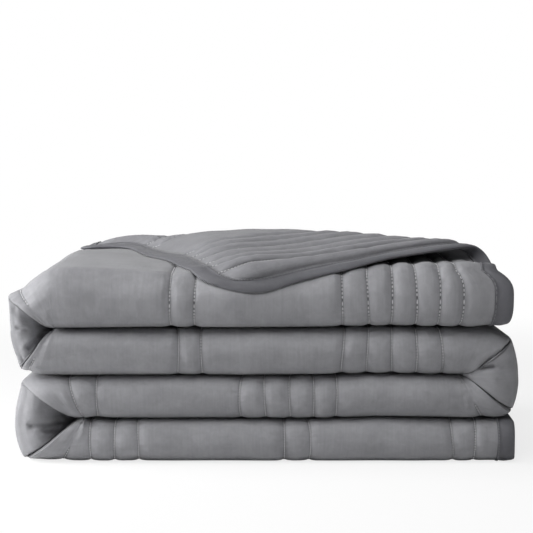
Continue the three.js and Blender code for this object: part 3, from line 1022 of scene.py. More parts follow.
@dataclass
class Quilting:
    """Sewn channels of the cloth: the seams, the soft channels between them and the thinned edges."""

    # Mark of a seam in a tier. A seam in a turn has the sign of the turn's outer face.
    WHOLE_SEAM = 0

    fold: BlanketFold
    pitch: float = 25.4
    shoulder: float = 9.5
    face_depth: float = 1.4
    reverse_depth: float = 2.6
    depth_variation: float = 0.16
    depth_seam_step: float = 90.0
    notch_depth: float = 1.1
    notch_width: float = 0.9
    line_width: float = 1.05
    pucker_height: float = 0.8
    pucker_reach: float = 9.0
    pucker_start: float = 4.0
    pucker_seam_step: float = 40.0
    pucker_lean: float = 0.35
    squeeze_roll_share: float = 0.5
    full_half_thickness: float = 6.0
    least_half_thickness: float = 0.8
    edge_taper: float = 24.0
    edge_half_thickness: float = 2.3
    roll_puff: float = 1.2
    top_puff: float = 0.9
    top_puff_roll_share: float = 0.3
    puff_variation: float = 0.45
    press_share: float = 0.5
    press_from_x: float = -165.0
    press_span_x: float = 50.0
    press_from_y: float = 190.0
    press_span_y: float = 90.0
    turn_seam_from: float = 0.1
    turn_seam_span: float = 0.4
    groups: tuple[SeamGroup, ...] = (
        SeamGroup(tier=0, start_x=207.0, channels=5),
        SeamGroup(tier=0, start_x=-74.0, channels=1),
        SeamGroup(tier=1, start_x=-93.0, channels=1),
        SeamGroup(tier=1, start_x=81.0, channels=4),
        SeamGroup(tier=2, start_x=75.0, channels=4),
        SeamGroup(tier=2, start_x=-178.0, channels=1),
        SeamGroup(tier=3, start_x=-185.0, channels=2),
        SeamGroup(tier=3, start_x=19.0, channels=1),
        SeamGroup(tier=3, start_x=195.0, channels=1),
    )
    turn_seams: tuple[TurnSeam, ...] = (
        TurnSeam(turn=0, angle=43.0),
        TurnSeam(turn=0, angle=148.0),
        TurnSeam(turn=1, angle=150.0),
        TurnSeam(turn=2, angle=152.0),
    )

    def __post_init__(self) -> None:
        """Lays out the seams along the cloth."""
        places = []
        for seam in self.turn_seams:
            outer_face = self.fold.tiers[seam.turn].face_up
            places.append((self.fold.along_of_angle(seam.turn, seam.angle), outer_face))
        for group in self.groups:
            first = self.fold.along_of(group.tier, group.start_x)
            places += [(first + index * self.pitch, self.WHOLE_SEAM) for index in range(group.channels + 1)]
        places.sort()
        self.seams = np.array([place for place, _ in places])
        self.seam_faces = np.array([face for _, face in places])
        self.pucker = Ripples(seed=5, shortest=6.0, longest=15.0, waves=7)
        self.depth_change = Ripples(seed=31, shortest=60.0, longest=160.0)
        self.puff_change = Ripples(seed=47, shortest=45.0, longest=130.0)

    def nearest(self, along: Array) -> tuple[Array, Array]:
        """Distance to the nearest seam, and which seam that is.

        Args:
            along: Places along the length.

        Returns:
            Distances, and the numbers of the seams.
        """
        after = np.searchsorted(self.seams, along).clip(1, len(self.seams) - 1)
        before = after - 1
        closer = np.abs(along - self.seams[before]) < np.abs(along - self.seams[after])
        index = np.where(closer, before, after)
        return np.abs(along - self.seams[index]), index

    def roll_progress(self, across: Array) -> Array:
        """0 up to the start of the front roll, 1 from its end on."""
        return np.clip((across - self.fold.layer_length) / self.fold.outer_roll_length, 0.0, 1.0)

    def seam_strength(self, index: Array, across: Array) -> Array:
        """1 along the seams in the tiers; in the turns the seams fade towards the crease.

        Args:
            index: Numbers of the seams.
            across: Places across the width.

        Returns:
            Strengths from 0 to 1.
        """
        outerness = self.seam_faces[index] * np.cos(math.pi * self.roll_progress(across))
        in_turn = ease((outerness - self.turn_seam_from) / self.turn_seam_span)
        return np.where(self.seam_faces[index] == self.WHOLE_SEAM, 1.0, in_turn)

    def painted_pleat_shade(self, along: Array, across: Array) -> Array:
        """Mask of painted shade: 1 in the depth of the pleats beside the gussets, 0 away from them."""
        on_roll = ease(self.roll_share(across) / self.fold.tuck_roll_share)
        return np.clip(self.fold.stations(along).shade * on_roll, 0.0, 1.0)

    def seam_shade_line(self, along: Array, across: Array) -> Array:
        """Painted shade along the seam grooves: 1 on the seams, 0 beyond the darkened line beside them."""
        distance, index = self.nearest(along)
        return np.clip(1.0 - distance / self.line_width, 0.0, 1.0) * self.seam_strength(index, across)

    def roll_share(self, across: Array) -> Array:
        """0 at the ends of the front roll and beyond, 1 at its middle."""
        return np.sin(math.pi * self.roll_progress(across))

    def half_thickness(self, along: Array, across: Array, side: ClothSide) -> Array:
        """Half the cloth's thickness on one side, with its channels, puckers and edges.

        Args:
            along: Places along the length.
            across: Places across the width.
            side: Which side of the cloth.

        Returns:
            Distances from the middle of the cloth.
        """
        at = self.fold.stations(along)
        shown = self.roll_share(across)
        squeeze = at.thinning * at.pinch * ease(shown / self.squeeze_roll_share)
        full = (1.0 - squeeze) * (1.0 - self.fold_press(along, across)) * at.thickness / 2
        distance, index = self.nearest(along)
        depth = self.face_depth if side is ClothSide.FACE else self.reverse_depth
        change = self.depth_change.at(across, self.depth_seam_step * index)
        depth = depth * (1.0 + self.depth_variation * change)
        shoulder = np.clip(1.0 - distance / self.shoulder, 0.0, 1.0) ** 2
        notch = self.notch_depth * np.exp(-((distance / self.notch_width) ** 2))
        groove = (depth * shoulder + notch) * np.minimum(1.0, full / self.full_half_thickness)
        groove = groove * self.seam_strength(index, across)
        wave_place = self.pucker_seam_step * index + self.pucker_lean * distance
        pucker = self.pucker_height * self.pucker.at(across, wave_place)
        pucker = pucker * np.exp(-distance / self.pucker_reach) * ease(distance / self.pucker_start)
        puff = self.puff(along, across, distance, side, shown)
        quilted = full - groove + (pucker - np.abs(pucker) * (1.0 - shown)) + puff
        tapered = ease(self.fold.edge_distance(along, across) / self.edge_taper)
        return np.maximum(lerp(self.edge_half_thickness, quilted, tapered), self.least_half_thickness)

    def puff(self, along: Array, across: Array, distance: Array, side: ClothSide, shown: Array) -> Array:
        """Extra fullness of the channels where the cloth lies open.

        Args:
            along: Places along the length.
            across: Places across the width.
            distance: Distances from the nearest seam.
            side: Which side of the cloth.
            shown: How far towards the middle of the front roll, from 0 to 1.

        Returns:
            Extra thickness.
        """
        between = ease(distance / self.shoulder)
        uneven = 1.0 + self.puff_variation * self.puff_change.at(along, across)
        roll = self.roll_puff * shown if side is ClothSide.FACE else 0.0
        fade = self.top_puff_roll_share * self.fold.outer_roll_length
        onto_roll = (across - self.fold.layer_length) / fade
        top = np.where(along <= self.fold.flap_end, 1.0 - ease(onto_roll), 0.0)
        top = np.where(self.lies_up(along, across, side), top, 0.0)
        return (roll + self.top_puff * top) * between * uneven

    def fold_press(self, along: Array, across: Array) -> Array:
        """Share of the fullness that is pressed out of the top layer where the corner's fold starts.

        Args:
            along: Places along the length.
            across: Places across the width.

        Returns:
            Shares from 0 to 1.
        """
        x, y = self.fold.top_flat(along, across)
        near_start = ease((self.press_from_x - x) / self.press_span_x)
        near_start = near_start * ease((y - self.press_from_y) / self.press_span_y)
        return np.where(self.fold.on_top_layer(along, across), self.press_share * near_start, 0.0)

    def lies_up(self, along: Array, across: Array, side: ClothSide) -> Array:
        """Whether this side of the top layer faces up: the face before the fold, the reverse after it.

        Args:
            along: Places along the length.
            across: Places across the width.
            side: Which side of the cloth.

        Returns:
            A truth value for each place.
        """
        x, y = self.fold.top_flat(along, across)
        turned = self.fold.beyond_fold(x, y) > math.pi * self.fold.bend_radius(x)
        return turned if side is ClothSide.REVERSE else ~turned


@dataclass
class MeshData:
    """Points, faces, material numbers and flat coordinates of one mesh, gathered in blocks."""

    points: list[Array] = field(default_factory=list)
    flat: list[Array] = field(default_factory=list)
    faces: list[Array] = field(default_factory=list)
    slots: list[Array] = field(default_factory=list)
    shades: dict[str, list[Array]] = field(default_factory=dict)
    count: int = 0

    def add_points(self, points: Array, flat: Array) -> Array:
        """Adds points with their places on the flat cloth.

        Args:
            points: Places in metres, in any grid.
            flat: Places on the flat cloth, in metres, in the same grid.

        Returns:
            The points' numbers, in the same grid.
        """
        grid = points.shape[:-1]
        numbers = self.count + np.arange(int(np.prod(grid))).reshape(grid)
        self.points.append(points.reshape(-1, 3))
        self.flat.append(flat.reshape(-1, 2))
        self.count += numbers.size
        return numbers

    def add_faces(self, corners: Array, slot: int = 0) -> None:
        """Adds faces of one material, each a row of its corner points' numbers."""
        self.faces.append(corners)
        self.slots.append(np.full(len(corners), slot))

    def add_grid(self, numbers: Array, flipped: bool, slot: int = 0) -> None:
        """Joins a grid of points with quads of one material, turned the other way if flipped."""
        corners = [numbers[:-1, :-1], numbers[1:, :-1], numbers[1:, 1:], numbers[:-1, 1:]]
        self.add_faces(np.stack(corners[::-1] if flipped else corners, axis=-1).reshape(-1, 4), slot)

    def build(self, name: str, materials: list[bpy.types.Material]) -> bpy.types.Object:
        """Makes the object, smooth all over, with its flat coordinates as a UV map.

        Args:
            name: Name of the object and its mesh.
            materials: Materials in the order of the slots.

        Returns:
            The new object, at the origin.
        """
        mesh = bpy.data.meshes.new(name)
        corner_lists = [row for block in self.faces for row in block.tolist()]
        mesh.from_pydata(np.concatenate(self.points).tolist(), [], corner_lists)
        mesh.polygons.foreach_set("material_index", np.concatenate(self.slots).astype(np.int32))
        corners = np.zeros(len(mesh.loops), dtype=np.int32)
        mesh.loops.foreach_get("vertex_index", corners)
        layer = mesh.uv_layers.new(name=FLAT_MAP)
        layer.data.foreach_set("uv", np.concatenate(self.flat)[corners].astype(np.float32).ravel())
        mesh.polygons.foreach_set("use_smooth", np.ones(len(mesh.polygons), dtype=bool))
        for shade, blocks in self.shades.items():
            values = np.concatenate([block.ravel() for block in blocks]).astype(np.float32)
            mesh.attributes.new(shade, "FLOAT", "POINT").data.foreach_set("value", values)
        for material in materials:
            mesh.materials.append(material)
        mesh.update()
        mesh.validate()
        made = bpy.data.objects.new(name, mesh)
        bpy.context.scene.collection.objects.link(made)
        return made


@dataclass(frozen=True)
class SideEdges:
    """Points along the edges of one side of the cloth; the end rows come with their places across."""

    start: Array
    end: Array
    first: tuple[Array, Array]
    last: tuple[Array, Array]


@dataclass
class QuiltedPanel:
    """The quilted cloth: one closed padded sheet with a face and a reverse."""

    fold: BlanketFold
    quilting: Quilting
    name: str = "quilted_panel"
    seam_steps: tuple[float, ...] = (0.0, 0.8, 1.9, 4.2, 8.2)
    pleat_steps: tuple[float, ...] = (-2.4, -1.0, -0.5, 0.0, 0.4, 0.8, 1.2, 1.7, 2.3, 2.9, 4.2, 6.0, 8.5)
    run_step: float = 8.5
    turn_step: float = 3.6
    gusset_step: float = 1.5
    least_step: float = 0.22
    taper_steps: int = 3
    corner_steps: int = 12
    flap_steps: int = 22
    bend_steps: int = 10
    flat_steps: int = 16
    face_roll_steps: int = 40
    reverse_roll_steps: int = 12
    tight_steps: int = 6
    hidden_steps: int = 2
    least_flap: float = 20.0
    tapers_in_flap: float = 5.0
    bend_share: float = 0.6

    def station_places(self) -> Array:
        """Places along the cloth where the mesh has a row: close at seams and pleats.

        Returns:
            Places along the cloth, in order.
        """
        fold = self.fold
        kept = np.concatenate([self.quilting.seams, [0.0, fold.length, fold.flap_end]])
        steps = np.array(self.seam_steps)
        near_seams = (self.quilting.seams[:, None] + np.concatenate([-steps, steps])[None, :]).ravel()
        corner = fold.corner_radius * (1.0 - np.cos(np.linspace(0.0, math.pi / 2, self.corner_steps)))
        wanted = [near_seams, kept, corner, fold.length - corner]
        for piece in fold.path:
            step = self.run_step if piece.kind is PathKind.RUN else self.turn_step
            wanted.append(np.linspace(piece.start, piece.end, int(piece.length / step) + 1))
            if piece.kind is PathKind.TURN:
                pleats = self.pleat_places(piece.index)
                wanted += [pleats, np.arange(min(pleats), max(pleats), self.gusset_step)]
        places = np.unique(np.concatenate(wanted))
        places = places[(places >= 0.0) & (places <= fold.length)]
        return self.thinned(places, kept)

    def thinned(self, places: Array, kept: Array) -> Array:
        """Drops places that lie too close to the one before, but never the kept ones.

        Args:
            places: Places along the cloth, in order.
            kept: Places that stay.

        Returns:
            The places that are left.
        """
        result = [places[0]]
        for place in places[1:]:
            close = place - result[-1] < self.least_step
            if not close:
                result.append(place)
            elif np.abs(kept - place).min() < TINY:
                result[-1] = place
        return np.array(result)

    def pleat_places(self, turn: int) -> list[float]:
        """Places along the cloth close to the two pleats of a turn.

        Args:
            turn: Which turn.

        Returns:
            Places along the cloth.
        """
        upper, lower = self.fold.turns[turn].tips
        angles = [upper + step for step in self.pleat_steps] + [lower - step for step in self.pleat_steps]
        return [self.fold.along_of_angle(turn, angle) for angle in angles]

    def flap_rows(self, along: Array) -> Array:
        """Places across the top layer: bound edge, laid-over part, bend and flat part.

        Args:
            along: Places along the length.

        Returns:
            One row of places across for each place along.
        """
        fold = self.fold
        front = np.full_like(along, fold.layer_length)
        x, _ = fold.top_flat(along, front)
        edge = fold.corner_inset(along)
        edge_y, _ = fold.section(np.zeros_like(along), fold.stations(along))
        turned = np.maximum(edge_y - fold.fold_y(x) - edge, self.least_flap)
        bend = edge + turned
        taper = edge + np.minimum(self.quilting.edge_taper, turned / self.tapers_in_flap)
        bend_length = math.pi * fold.bend_radius(x) / fold.fold_normal[1]
        bend_start = bend - np.minimum(bend_length, self.bend_share * turned)
        return np.concatenate([
            edge[:, None],
            spread(edge, taper, self.taper_steps),
            spread(taper, bend_start, self.flap_steps),
            spread(bend_start, bend, self.bend_steps),
            spread(bend, front, self.flat_steps),
        ], axis=1)

    def plain_rows(self, along: Array) -> Array:
        """Places across a pressed outer layer, close only at its bound edge.

        Args:
            along: Places along the length.

        Returns:
            One row of places across for each place along.
        """
        edge = self.fold.corner_inset(along)
        front = np.full_like(along, self.fold.layer_length)
        taper = edge + self.quilting.edge_taper
        rows = [edge[:, None], spread(edge, taper, self.taper_steps)]
        return np.concatenate([*rows, spread(taper, front, self.hidden_steps)], axis=1)

    def folded_rows(self, along: Array, side: ClothSide) -> Array:
        """Places across the rest of the width, from the front roll to the inner layer's bound edge.

        Args:
            along: Places along the length.
            side: Which side of the cloth.

        Returns:
            One row of places across for each place along.
        """
        fold = self.fold
        roll_steps = self.face_roll_steps if side is ClothSide.FACE else self.reverse_roll_steps
        counts = [roll_steps, self.hidden_steps, self.tight_steps, self.hidden_steps, self.tight_steps]
        start = np.full_like(along, fold.layer_length)
        rows = []
        for count, length in zip(counts, fold.width_pieces[1:-1]):
            rows.append(spread(start, start + length, count))
            start = start + length
        end = fold.width - fold.corner_inset(along)
        taper = end - self.quilting.edge_taper
        rows.append(spread(start, taper, self.hidden_steps))
        rows.append(spread(taper, end, self.taper_steps))
        return np.concatenate(rows, axis=1)

    def add_side(self, data: MeshData, along: Array, rows: Array, side: ClothSide) -> Array:
        """Adds the points of one side of the cloth over a block of stations.

        Args:
            data: The mesh to add to.
            along: Places along the length.
            rows: One row of places across for each place along.
            side: Which side of the cloth.

        Returns:
            The points' numbers, in a grid.
        """
        places = np.broadcast_to(along[:, None], rows.shape)
        half = self.quilting.half_thickness(places, rows, side)
        points = self.fold.place(places, rows, side.value * half)
        # Masks of painted shade in the pleats and along the seams, kept as point attributes.
        data.shades.setdefault(PAINTED_PLEAT_SHADE, []).append(self.quilting.painted_pleat_shade(places, rows))
        data.shades.setdefault(SEAM_SHADE_LINE, []).append(self.quilting.seam_shade_line(places, rows))
        return data.add_points(points, np.stack([places, rows], axis=-1) * METRE_PER_MM)

    def zip_rows(self, data: MeshData, blocks: list[tuple[Array, Array]], flipped: bool, slot: int) -> None:
        """Joins two rows of points of different counts by their places across the cloth.

        Args:
            data: The mesh to add to.
            blocks: The two rows, each as its points' numbers and their places.
            flipped: Whether the faces turn the other way.
            slot: Material slot of the faces.
        """
        (row_a, places_a), (row_b, places_b) = blocks
        corners = []
        a = b = 0
        while a < len(row_a) - 1 or b < len(row_b) - 1:
            next_a = places_a[a + 1] if a < len(row_a) - 1 else math.inf
            next_b = places_b[b + 1] if b < len(row_b) - 1 else math.inf
            third = row_a[a + 1] if next_a <= next_b else row_b[b + 1]
            corners.append((row_a[a], third, row_b[b]) if flipped else (row_a[a], row_b[b], third))
            if next_a <= next_b:
                a += 1
            else:
                b += 1
        data.add_faces(np.array(corners), slot)

    def add_cloth(self, data: MeshData, places: Array, side: ClothSide, slot: int) -> SideEdges:
        """Adds one whole side of the cloth.

        Args:
            data: The mesh to add to.
            places: Places along the cloth where the mesh has a row.
            side: Which side of the cloth.
            slot: Material slot of its faces.

        Returns:
            The side's edges.
        """
        top = places[places <= self.fold.flap_end + TINY]
        rest = places[len(top):]
        flipped = side is ClothSide.REVERSE
        top_rows = np.concatenate([self.flap_rows(top), self.folded_rows(top, side)], axis=1)
        rest_rows = np.concatenate([self.plain_rows(rest), self.folded_rows(rest, side)], axis=1)
        first = self.add_side(data, top, top_rows, side)
        after = self.add_side(data, rest, rest_rows, side)
        data.add_grid(first, flipped, slot)
        data.add_grid(after, flipped, slot)
        self.zip_rows(data, [(first[-1], top_rows[-1]), (after[0], rest_rows[0])], flipped, slot)
        return SideEdges(
            start=np.concatenate([first[:, 0], after[:, 0]]),
            end=np.concatenate([first[:, -1], after[:, -1]]),
            first=(first[0], top_rows[0]),
            last=(after[-1], rest_rows[-1]),
        )

    def build(self, finishes: dict[ClothSide, "ClothFinish"]) -> bpy.types.Object:
        """Builds the padded sheet and dresses it.

        Args:
            finishes: The finish of each side of the cloth.

        Returns:
            The finished piece.
        """
        data = MeshData()
        places = self.station_places()
        slots = {side: slot for slot, side in enumerate(ClothSide)}
        face, reverse = [self.add_cloth(data, places, side, slots[side]) for side in ClothSide]
        self.close_edges(data, face, reverse, slots[ClothSide.REVERSE])
        return data.build(self.name, [finishes[side].material() for side in ClothSide])

    def close_edges(self, data: MeshData, face: SideEdges, reverse: SideEdges, slot: int) -> None:
        """Closes the two long edges and the two ends between the face and the reverse.

        Args:
            data: The mesh to add to.
            face: Edges of the face.
            reverse: Edges of the reverse.
            slot: Material slot of the faces.
        """
        data.add_grid(np.stack([face.start, reverse.start]), True, slot)
        data.add_grid(np.stack([face.end, reverse.end]), False, slot)
        self.zip_rows(data, [face.first, reverse.first], False, slot)
        self.zip_rows(data, [face.last, reverse.last], True, slot)


@dataclass
class EdgeBinding:
    """The tape sewn round the whole outline, folded over the cloth's edge."""

    fold: BlanketFold
    name: str = "edge_tape"
    tape_half: float = 3.1
    inside_half: float = 2.45
    inside_start: float = 0.3
    # Upper half of the section, from its lip: distance out of the cloth's edge, height off its middle.
    upper_section: tuple[tuple[float, float], ...] = (
        (-2.7, 2.45), (-3.0, 2.95), (-2.1, 3.4), (-0.6, 3.2), (0.6, 2.6), (2.2, 2.9),
        (5.5, 3.1), (9.5, 2.9), (13.0, 2.2), (15.6, 1.55), (16.7, 0.744),
    )
    edge_step: float = 6.0
    roll_step: float = 3.0
    corner_steps: int = 16
    ripple_share: float = 0.07
    ripple_stretch: float = 3.0

    def __post_init__(self) -> None:
        """Sets the tape's unevenness."""
        self.ripples = Ripples(seed=71, shortest=14.0, longest=60.0)

    def profile(self) -> Array:
        """Section of the tape: distance out from the cloth's edge, and height off its middle.

        Returns:
            One row for each point of the section, once round.
        """
        lower = [(out, -height) for out, height in reversed(self.upper_section)]
        inside = [(self.inside_start, -self.inside_half), (self.inside_start, self.inside_half)]
        return np.array([*self.upper_section, (self.fold.binding_width, 0.0), *lower, *inside])

    def outline(self) -> Array:
        """Outline of the flat cloth, once round.

        Returns:
            Rows of place along, place across, and the direction out of the cloth along and across.
        """
        fold, radius = self.fold, self.fold.corner_radius
        along = np.linspace(radius, fold.length - radius, int((fold.length - 2 * radius) / self.edge_step))
        across = np.linspace(radius, fold.width - radius, int((fold.width - 2 * radius) / self.roll_step))
        far_along, far_across = fold.length - radius, fold.width - radius
        return np.concatenate([
            self.straight(along, np.zeros_like(along), 0.0, -1.0),
            self.corner(far_along, radius, -math.pi / 2),
            self.straight(np.full_like(across, fold.length), across, 1.0, 0.0),
            self.corner(far_along, far_across, 0.0),
            self.straight(along[::-1], np.full_like(along, fold.width), 0.0, 1.0),
            self.corner(radius, far_across, math.pi / 2),
            self.straight(np.zeros_like(across), across[::-1], -1.0, 0.0),
            self.corner(radius, radius, math.pi),
        ])

    def straight(self, along: Array, across: Array, out_along: float, out_across: float) -> Array:
        """A straight stretch of the outline."""
        shape = np.ones_like(along)
        return np.stack([along, across, out_along * shape, out_across * shape], axis=-1)

    def corner(self, centre_along: float, centre_across: float, start: float) -> Array:
        """A rounded corner of the outline, its two ends left out.

        Args:
            centre_along: Centre of the corner along the length.
            centre_across: Centre of the corner across the width.
            start: Angle at which it starts, in radians.

        Returns:
            Rows of the outline.
        """
        angles = start + np.linspace(0.0, math.pi / 2, self.corner_steps + 1)[1:-1]
        out_along, out_across = np.cos(angles), np.sin(angles)
        along = centre_along + self.fold.corner_radius * out_along
        across = centre_across + self.fold.corner_radius * out_across
        return np.stack([along, across, out_along, out_across], axis=-1)

    def lengths(self, outline: Array) -> Array:
        """Running length along the outline."""
        steps = np.hypot(*np.diff(outline[:, :2], axis=0).T)
        return np.concatenate([[0.0], np.cumsum(steps)])

    def tape_places(self, outline: Array, out: Array, offset: Array) -> Array:
        """Places on the tape, by distance out of the cloth's edge and off its middle."""
        along, across, out_along, out_across = outline.T[:, :, None]
        return self.fold.place(along + out * out_along, across + out * out_across, offset)

    def build(self, finish: "ClothFinish") -> bpy.types.Object:
        """Builds the tape and dresses it.

        Args:
            finish: The tape's finish.

        Returns:
            The finished piece.
        """
        outline, profile = self.outline(), self.profile()
        shape = (len(outline), len(profile))
        out = np.broadcast_to(profile[:, 0], shape)
        length = np.broadcast_to(self.lengths(outline)[:, None], shape)
        uneven = 1.0 + self.ripple_share * self.ripples.at(length, self.ripple_stretch * out)
        offset = profile[:, 1] * np.where(np.abs(profile[:, 1]) > self.inside_half, uneven, 1.0)
        data = MeshData()
        points = self.tape_places(outline, out, offset)
        numbers = data.add_points(points, np.stack([length, out], axis=-1) * METRE_PER_MM)
        closed = np.concatenate([numbers, numbers[:1]])
        closed = np.concatenate([closed, closed[:, :1]], axis=1)
        data.add_grid(closed, True)
        return data.build(self.name, [finish.material()])


@dataclass
class Stitching:
    """Rows of small thread stitches, lying on the cloth along the seams and on the tape."""

    fold: BlanketFold
    quilting: Quilting
    binding: EdgeBinding
    seam_name: str = "seam_thread"
    tape_name: str = "tape_thread"
    stitch_length: float = 2.4
    stitch_pitch: float = STITCH_PITCH
    thread_radius: float = 0.56
    spindle: tuple[float, float, float] = (0.5, 1.0, 0.5)
    sides: int = 5
    seam_lift: float = 0.8
    tape_lift: float = 0.3
    up_step: float = 1.0
    tape_line: float = -1.2
    edge_margin: float = 6.0
    roll_margin: float = 26.0
    least_strength: float = 0.5

    @property
    def steps(self) -> tuple[float, float, float]:
        """Start, middle and end of a stitch, from its middle."""
        half = self.stitch_length / 2
        return -half, 0.0, half

    def seam_rows(self) -> list[tuple[Array, Array, ClothSide]]:
        """Stitch places of each seam: along, across and the side of the cloth.

        Returns:
            One entry for each seam and side.
        """
        fold = self.fold
        rows = []
        for index, seam in enumerate(self.quilting.seams):
            on_top = seam <= fold.flap_end
            first = self.edge_margin if on_top else fold.layer_length - self.roll_margin
            across = self.stitch_places(first, fold.roll_end + self.roll_margin)
            strength = self.quilting.seam_strength(np.full(len(across), index), across)
            across = across[strength > self.least_strength]
            rows.append((np.full_like(across, seam), across, ClothSide.FACE))
            if on_top:
                reverse = self.stitch_places(self.edge_margin, fold.layer_length)
                rows.append((np.full_like(reverse, seam), reverse, ClothSide.REVERSE))
        return rows

    def stitch_places(self, first: float, last: float) -> Array:
        """Whole numbers of stitches between two places across the cloth."""
        return self.stitch_pitch * np.arange(math.ceil(first / self.stitch_pitch), last / self.stitch_pitch)

    def build_seams(self, finish: "ClothFinish") -> bpy.types.Object:
        """Builds the stitches of the quilting seams.

        Args:
            finish: The thread's finish.

        Returns:
            The finished piece.
        """
        data = MeshData()
        for along, across, side in self.seam_rows():
            ends = [self.on_seam(along, across + step, side, self.seam_lift) for step in self.steps]
            above = self.on_seam(along, across, side, self.seam_lift + self.up_step)
            self.add_stitches(data, ends, above - ends[1])
        return data.build(self.seam_name, [finish.material()])

    def on_seam(self, along: Array, across: Array, side: ClothSide, lift: float) -> Array:
        """Places just above a seam."""
        half = self.quilting.half_thickness(along, across, side)
        return self.fold.place(along, across, side.value * (half + lift))

    def build_tape(self, finish: "ClothFinish") -> bpy.types.Object:
        """Builds the stitches that hold the tape, on both of its sides.

        Args:
            finish: The thread's finish.

        Returns:
            The finished piece.
        """
        outline = self.binding.outline()
        length = self.binding.lengths(outline)
        middle = np.arange(self.stitch_pitch, length[-1], self.stitch_pitch)
        data = MeshData()
        height = self.binding.tape_half + self.tape_lift
        for side in ClothSide:
            offset = side.value * height
            ends = [self.on_tape(outline, length, middle + step, offset) for step in self.steps]
            above = self.on_tape(outline, length, middle, side.value * (height + self.up_step))
            self.add_stitches(data, ends, above - ends[1])
        return data.build(self.tape_name, [finish.material()])

    def on_tape(self, outline: Array, length: Array, places: Array, offset: float) -> Array:
        """Places above the tape's inner edge, by running length along the outline.

        Args:
            outline: Rows of the outline.
            length: Running length at each row of the outline.
            places: Running lengths of the wanted places.
            offset: Distance off the middle of the cloth.

        Returns:
            Places in the part's own frame, in metres.
        """
        rows = np.stack([np.interp(places, length, column) for column in outline.T], axis=-1)
        line = np.full((len(rows), 1), self.tape_line)
        return self.binding.tape_places(rows, line, np.full((len(rows), 1), offset))[:, 0]

    def add_stitches(self, data: MeshData, ends: list[Array], up: Array) -> None:
        """Adds one small spindle for each stitch.

        Args:
            data: The mesh to add to.
            ends: The stitches' start, middle and end places.
            up: Directions off the cloth.
        """
        start, _, end = ends
        up = up / np.linalg.norm(up, axis=-1, keepdims=True)
        across = np.cross(end - start, up)
        across = across / np.linalg.norm(across, axis=-1, keepdims=True)
        angles = np.arange(self.sides)[None, :, None] * 2.0 * math.pi / self.sides
        spokes = np.cos(angles) * across[:, None] + np.sin(angles) * up[:, None]
        radius = self.thread_radius * METRE_PER_MM
        rings = [centre[:, None] + share * radius * spokes for centre, share in zip(ends, self.spindle)]
        points = np.stack(rings, axis=1)
        numbers = data.add_points(points, np.zeros((*points.shape[:-1], 2)))
        looped = np.concatenate([numbers, numbers[:, :, :1]], axis=2)
        for ring in range(len(self.spindle) - 1):
            low, high = looped[:, ring], looped[:, ring + 1]
            quads = np.stack([low[:, :-1], low[:, 1:], high[:, 1:], high[:, :-1]], axis=-1)
            data.add_faces(quads.reshape(-1, 4))
        data.add_faces(numbers[:, 0, ::-1])
        data.add_faces(numbers[:, -1])


class NodeTree:
    """Small helper that adds and joins shader nodes."""

    # Numbers of the sockets of a colour mix.
    MIX_SHARE = 0
    MIX_FIRST = 6
    MIX_SECOND = 7
    MIX_RESULT = 2

    def __init__(self, tree: bpy.types.NodeTree) -> None:
        """Keeps the tree to build in."""
        self.tree = tree

    def add(self, kind: str, inputs: dict | None = None, **values: object) -> bpy.types.Node:
        """Adds a node.

        Args:
            kind: Kind of node.
            inputs: Sockets or constants for its inputs, by the inputs' names or numbers.
            values: The node's own properties.

        Returns:
            The new node.
        """
        node = self.tree.nodes.new(kind)
        for name, value in values.items():
            setattr(node, name, value)
        for name, value in (inputs or {}).items():
            self.feed(value, node.inputs[name])
        return node

    def feed(self, value: object, target: bpy.types.NodeSocket) -> None:
        """Links a socket to an input, or sets the input to a constant.

        Args:
            value: A socket or a constant.
            target: The input.
        """
        if isinstance(value, bpy.types.NodeSocket):
            self.tree.links.new(value, target)
        else:
            target.default_value = value

    def math(self, operation: str, *values: object) -> bpy.types.NodeSocket:
        """Adds a maths node on sockets or numbers and gives its output."""
        return self.add("ShaderNodeMath", dict(enumerate(values)), operation=operation).outputs[0]

    def plus(self, total: object, part: object, weight: float) -> bpy.types.NodeSocket:
        """Adds a part, times its weight, to a total."""
        return self.math("ADD", total, self.math("MULTIPLY", part, weight))

    def blend(self, share: object, first: object, second: object, kind: str = "MIX") -> bpy.types.NodeSocket:
        """Adds a mix of two colours and gives its output.

        Args:
            share: Share of the second colour.
            first: First colour, or its socket.
            second: Second colour, or its socket.
            kind: Kind of mix.

        Returns:
            The socket with the mixed colour.
        """
        inputs = {self.MIX_SHARE: share, self.MIX_FIRST: first, self.MIX_SECOND: second}
        node = self.add("ShaderNodeMix", data_type="RGBA", blend_type=kind, inputs=inputs)
        return node.outputs[self.MIX_RESULT]


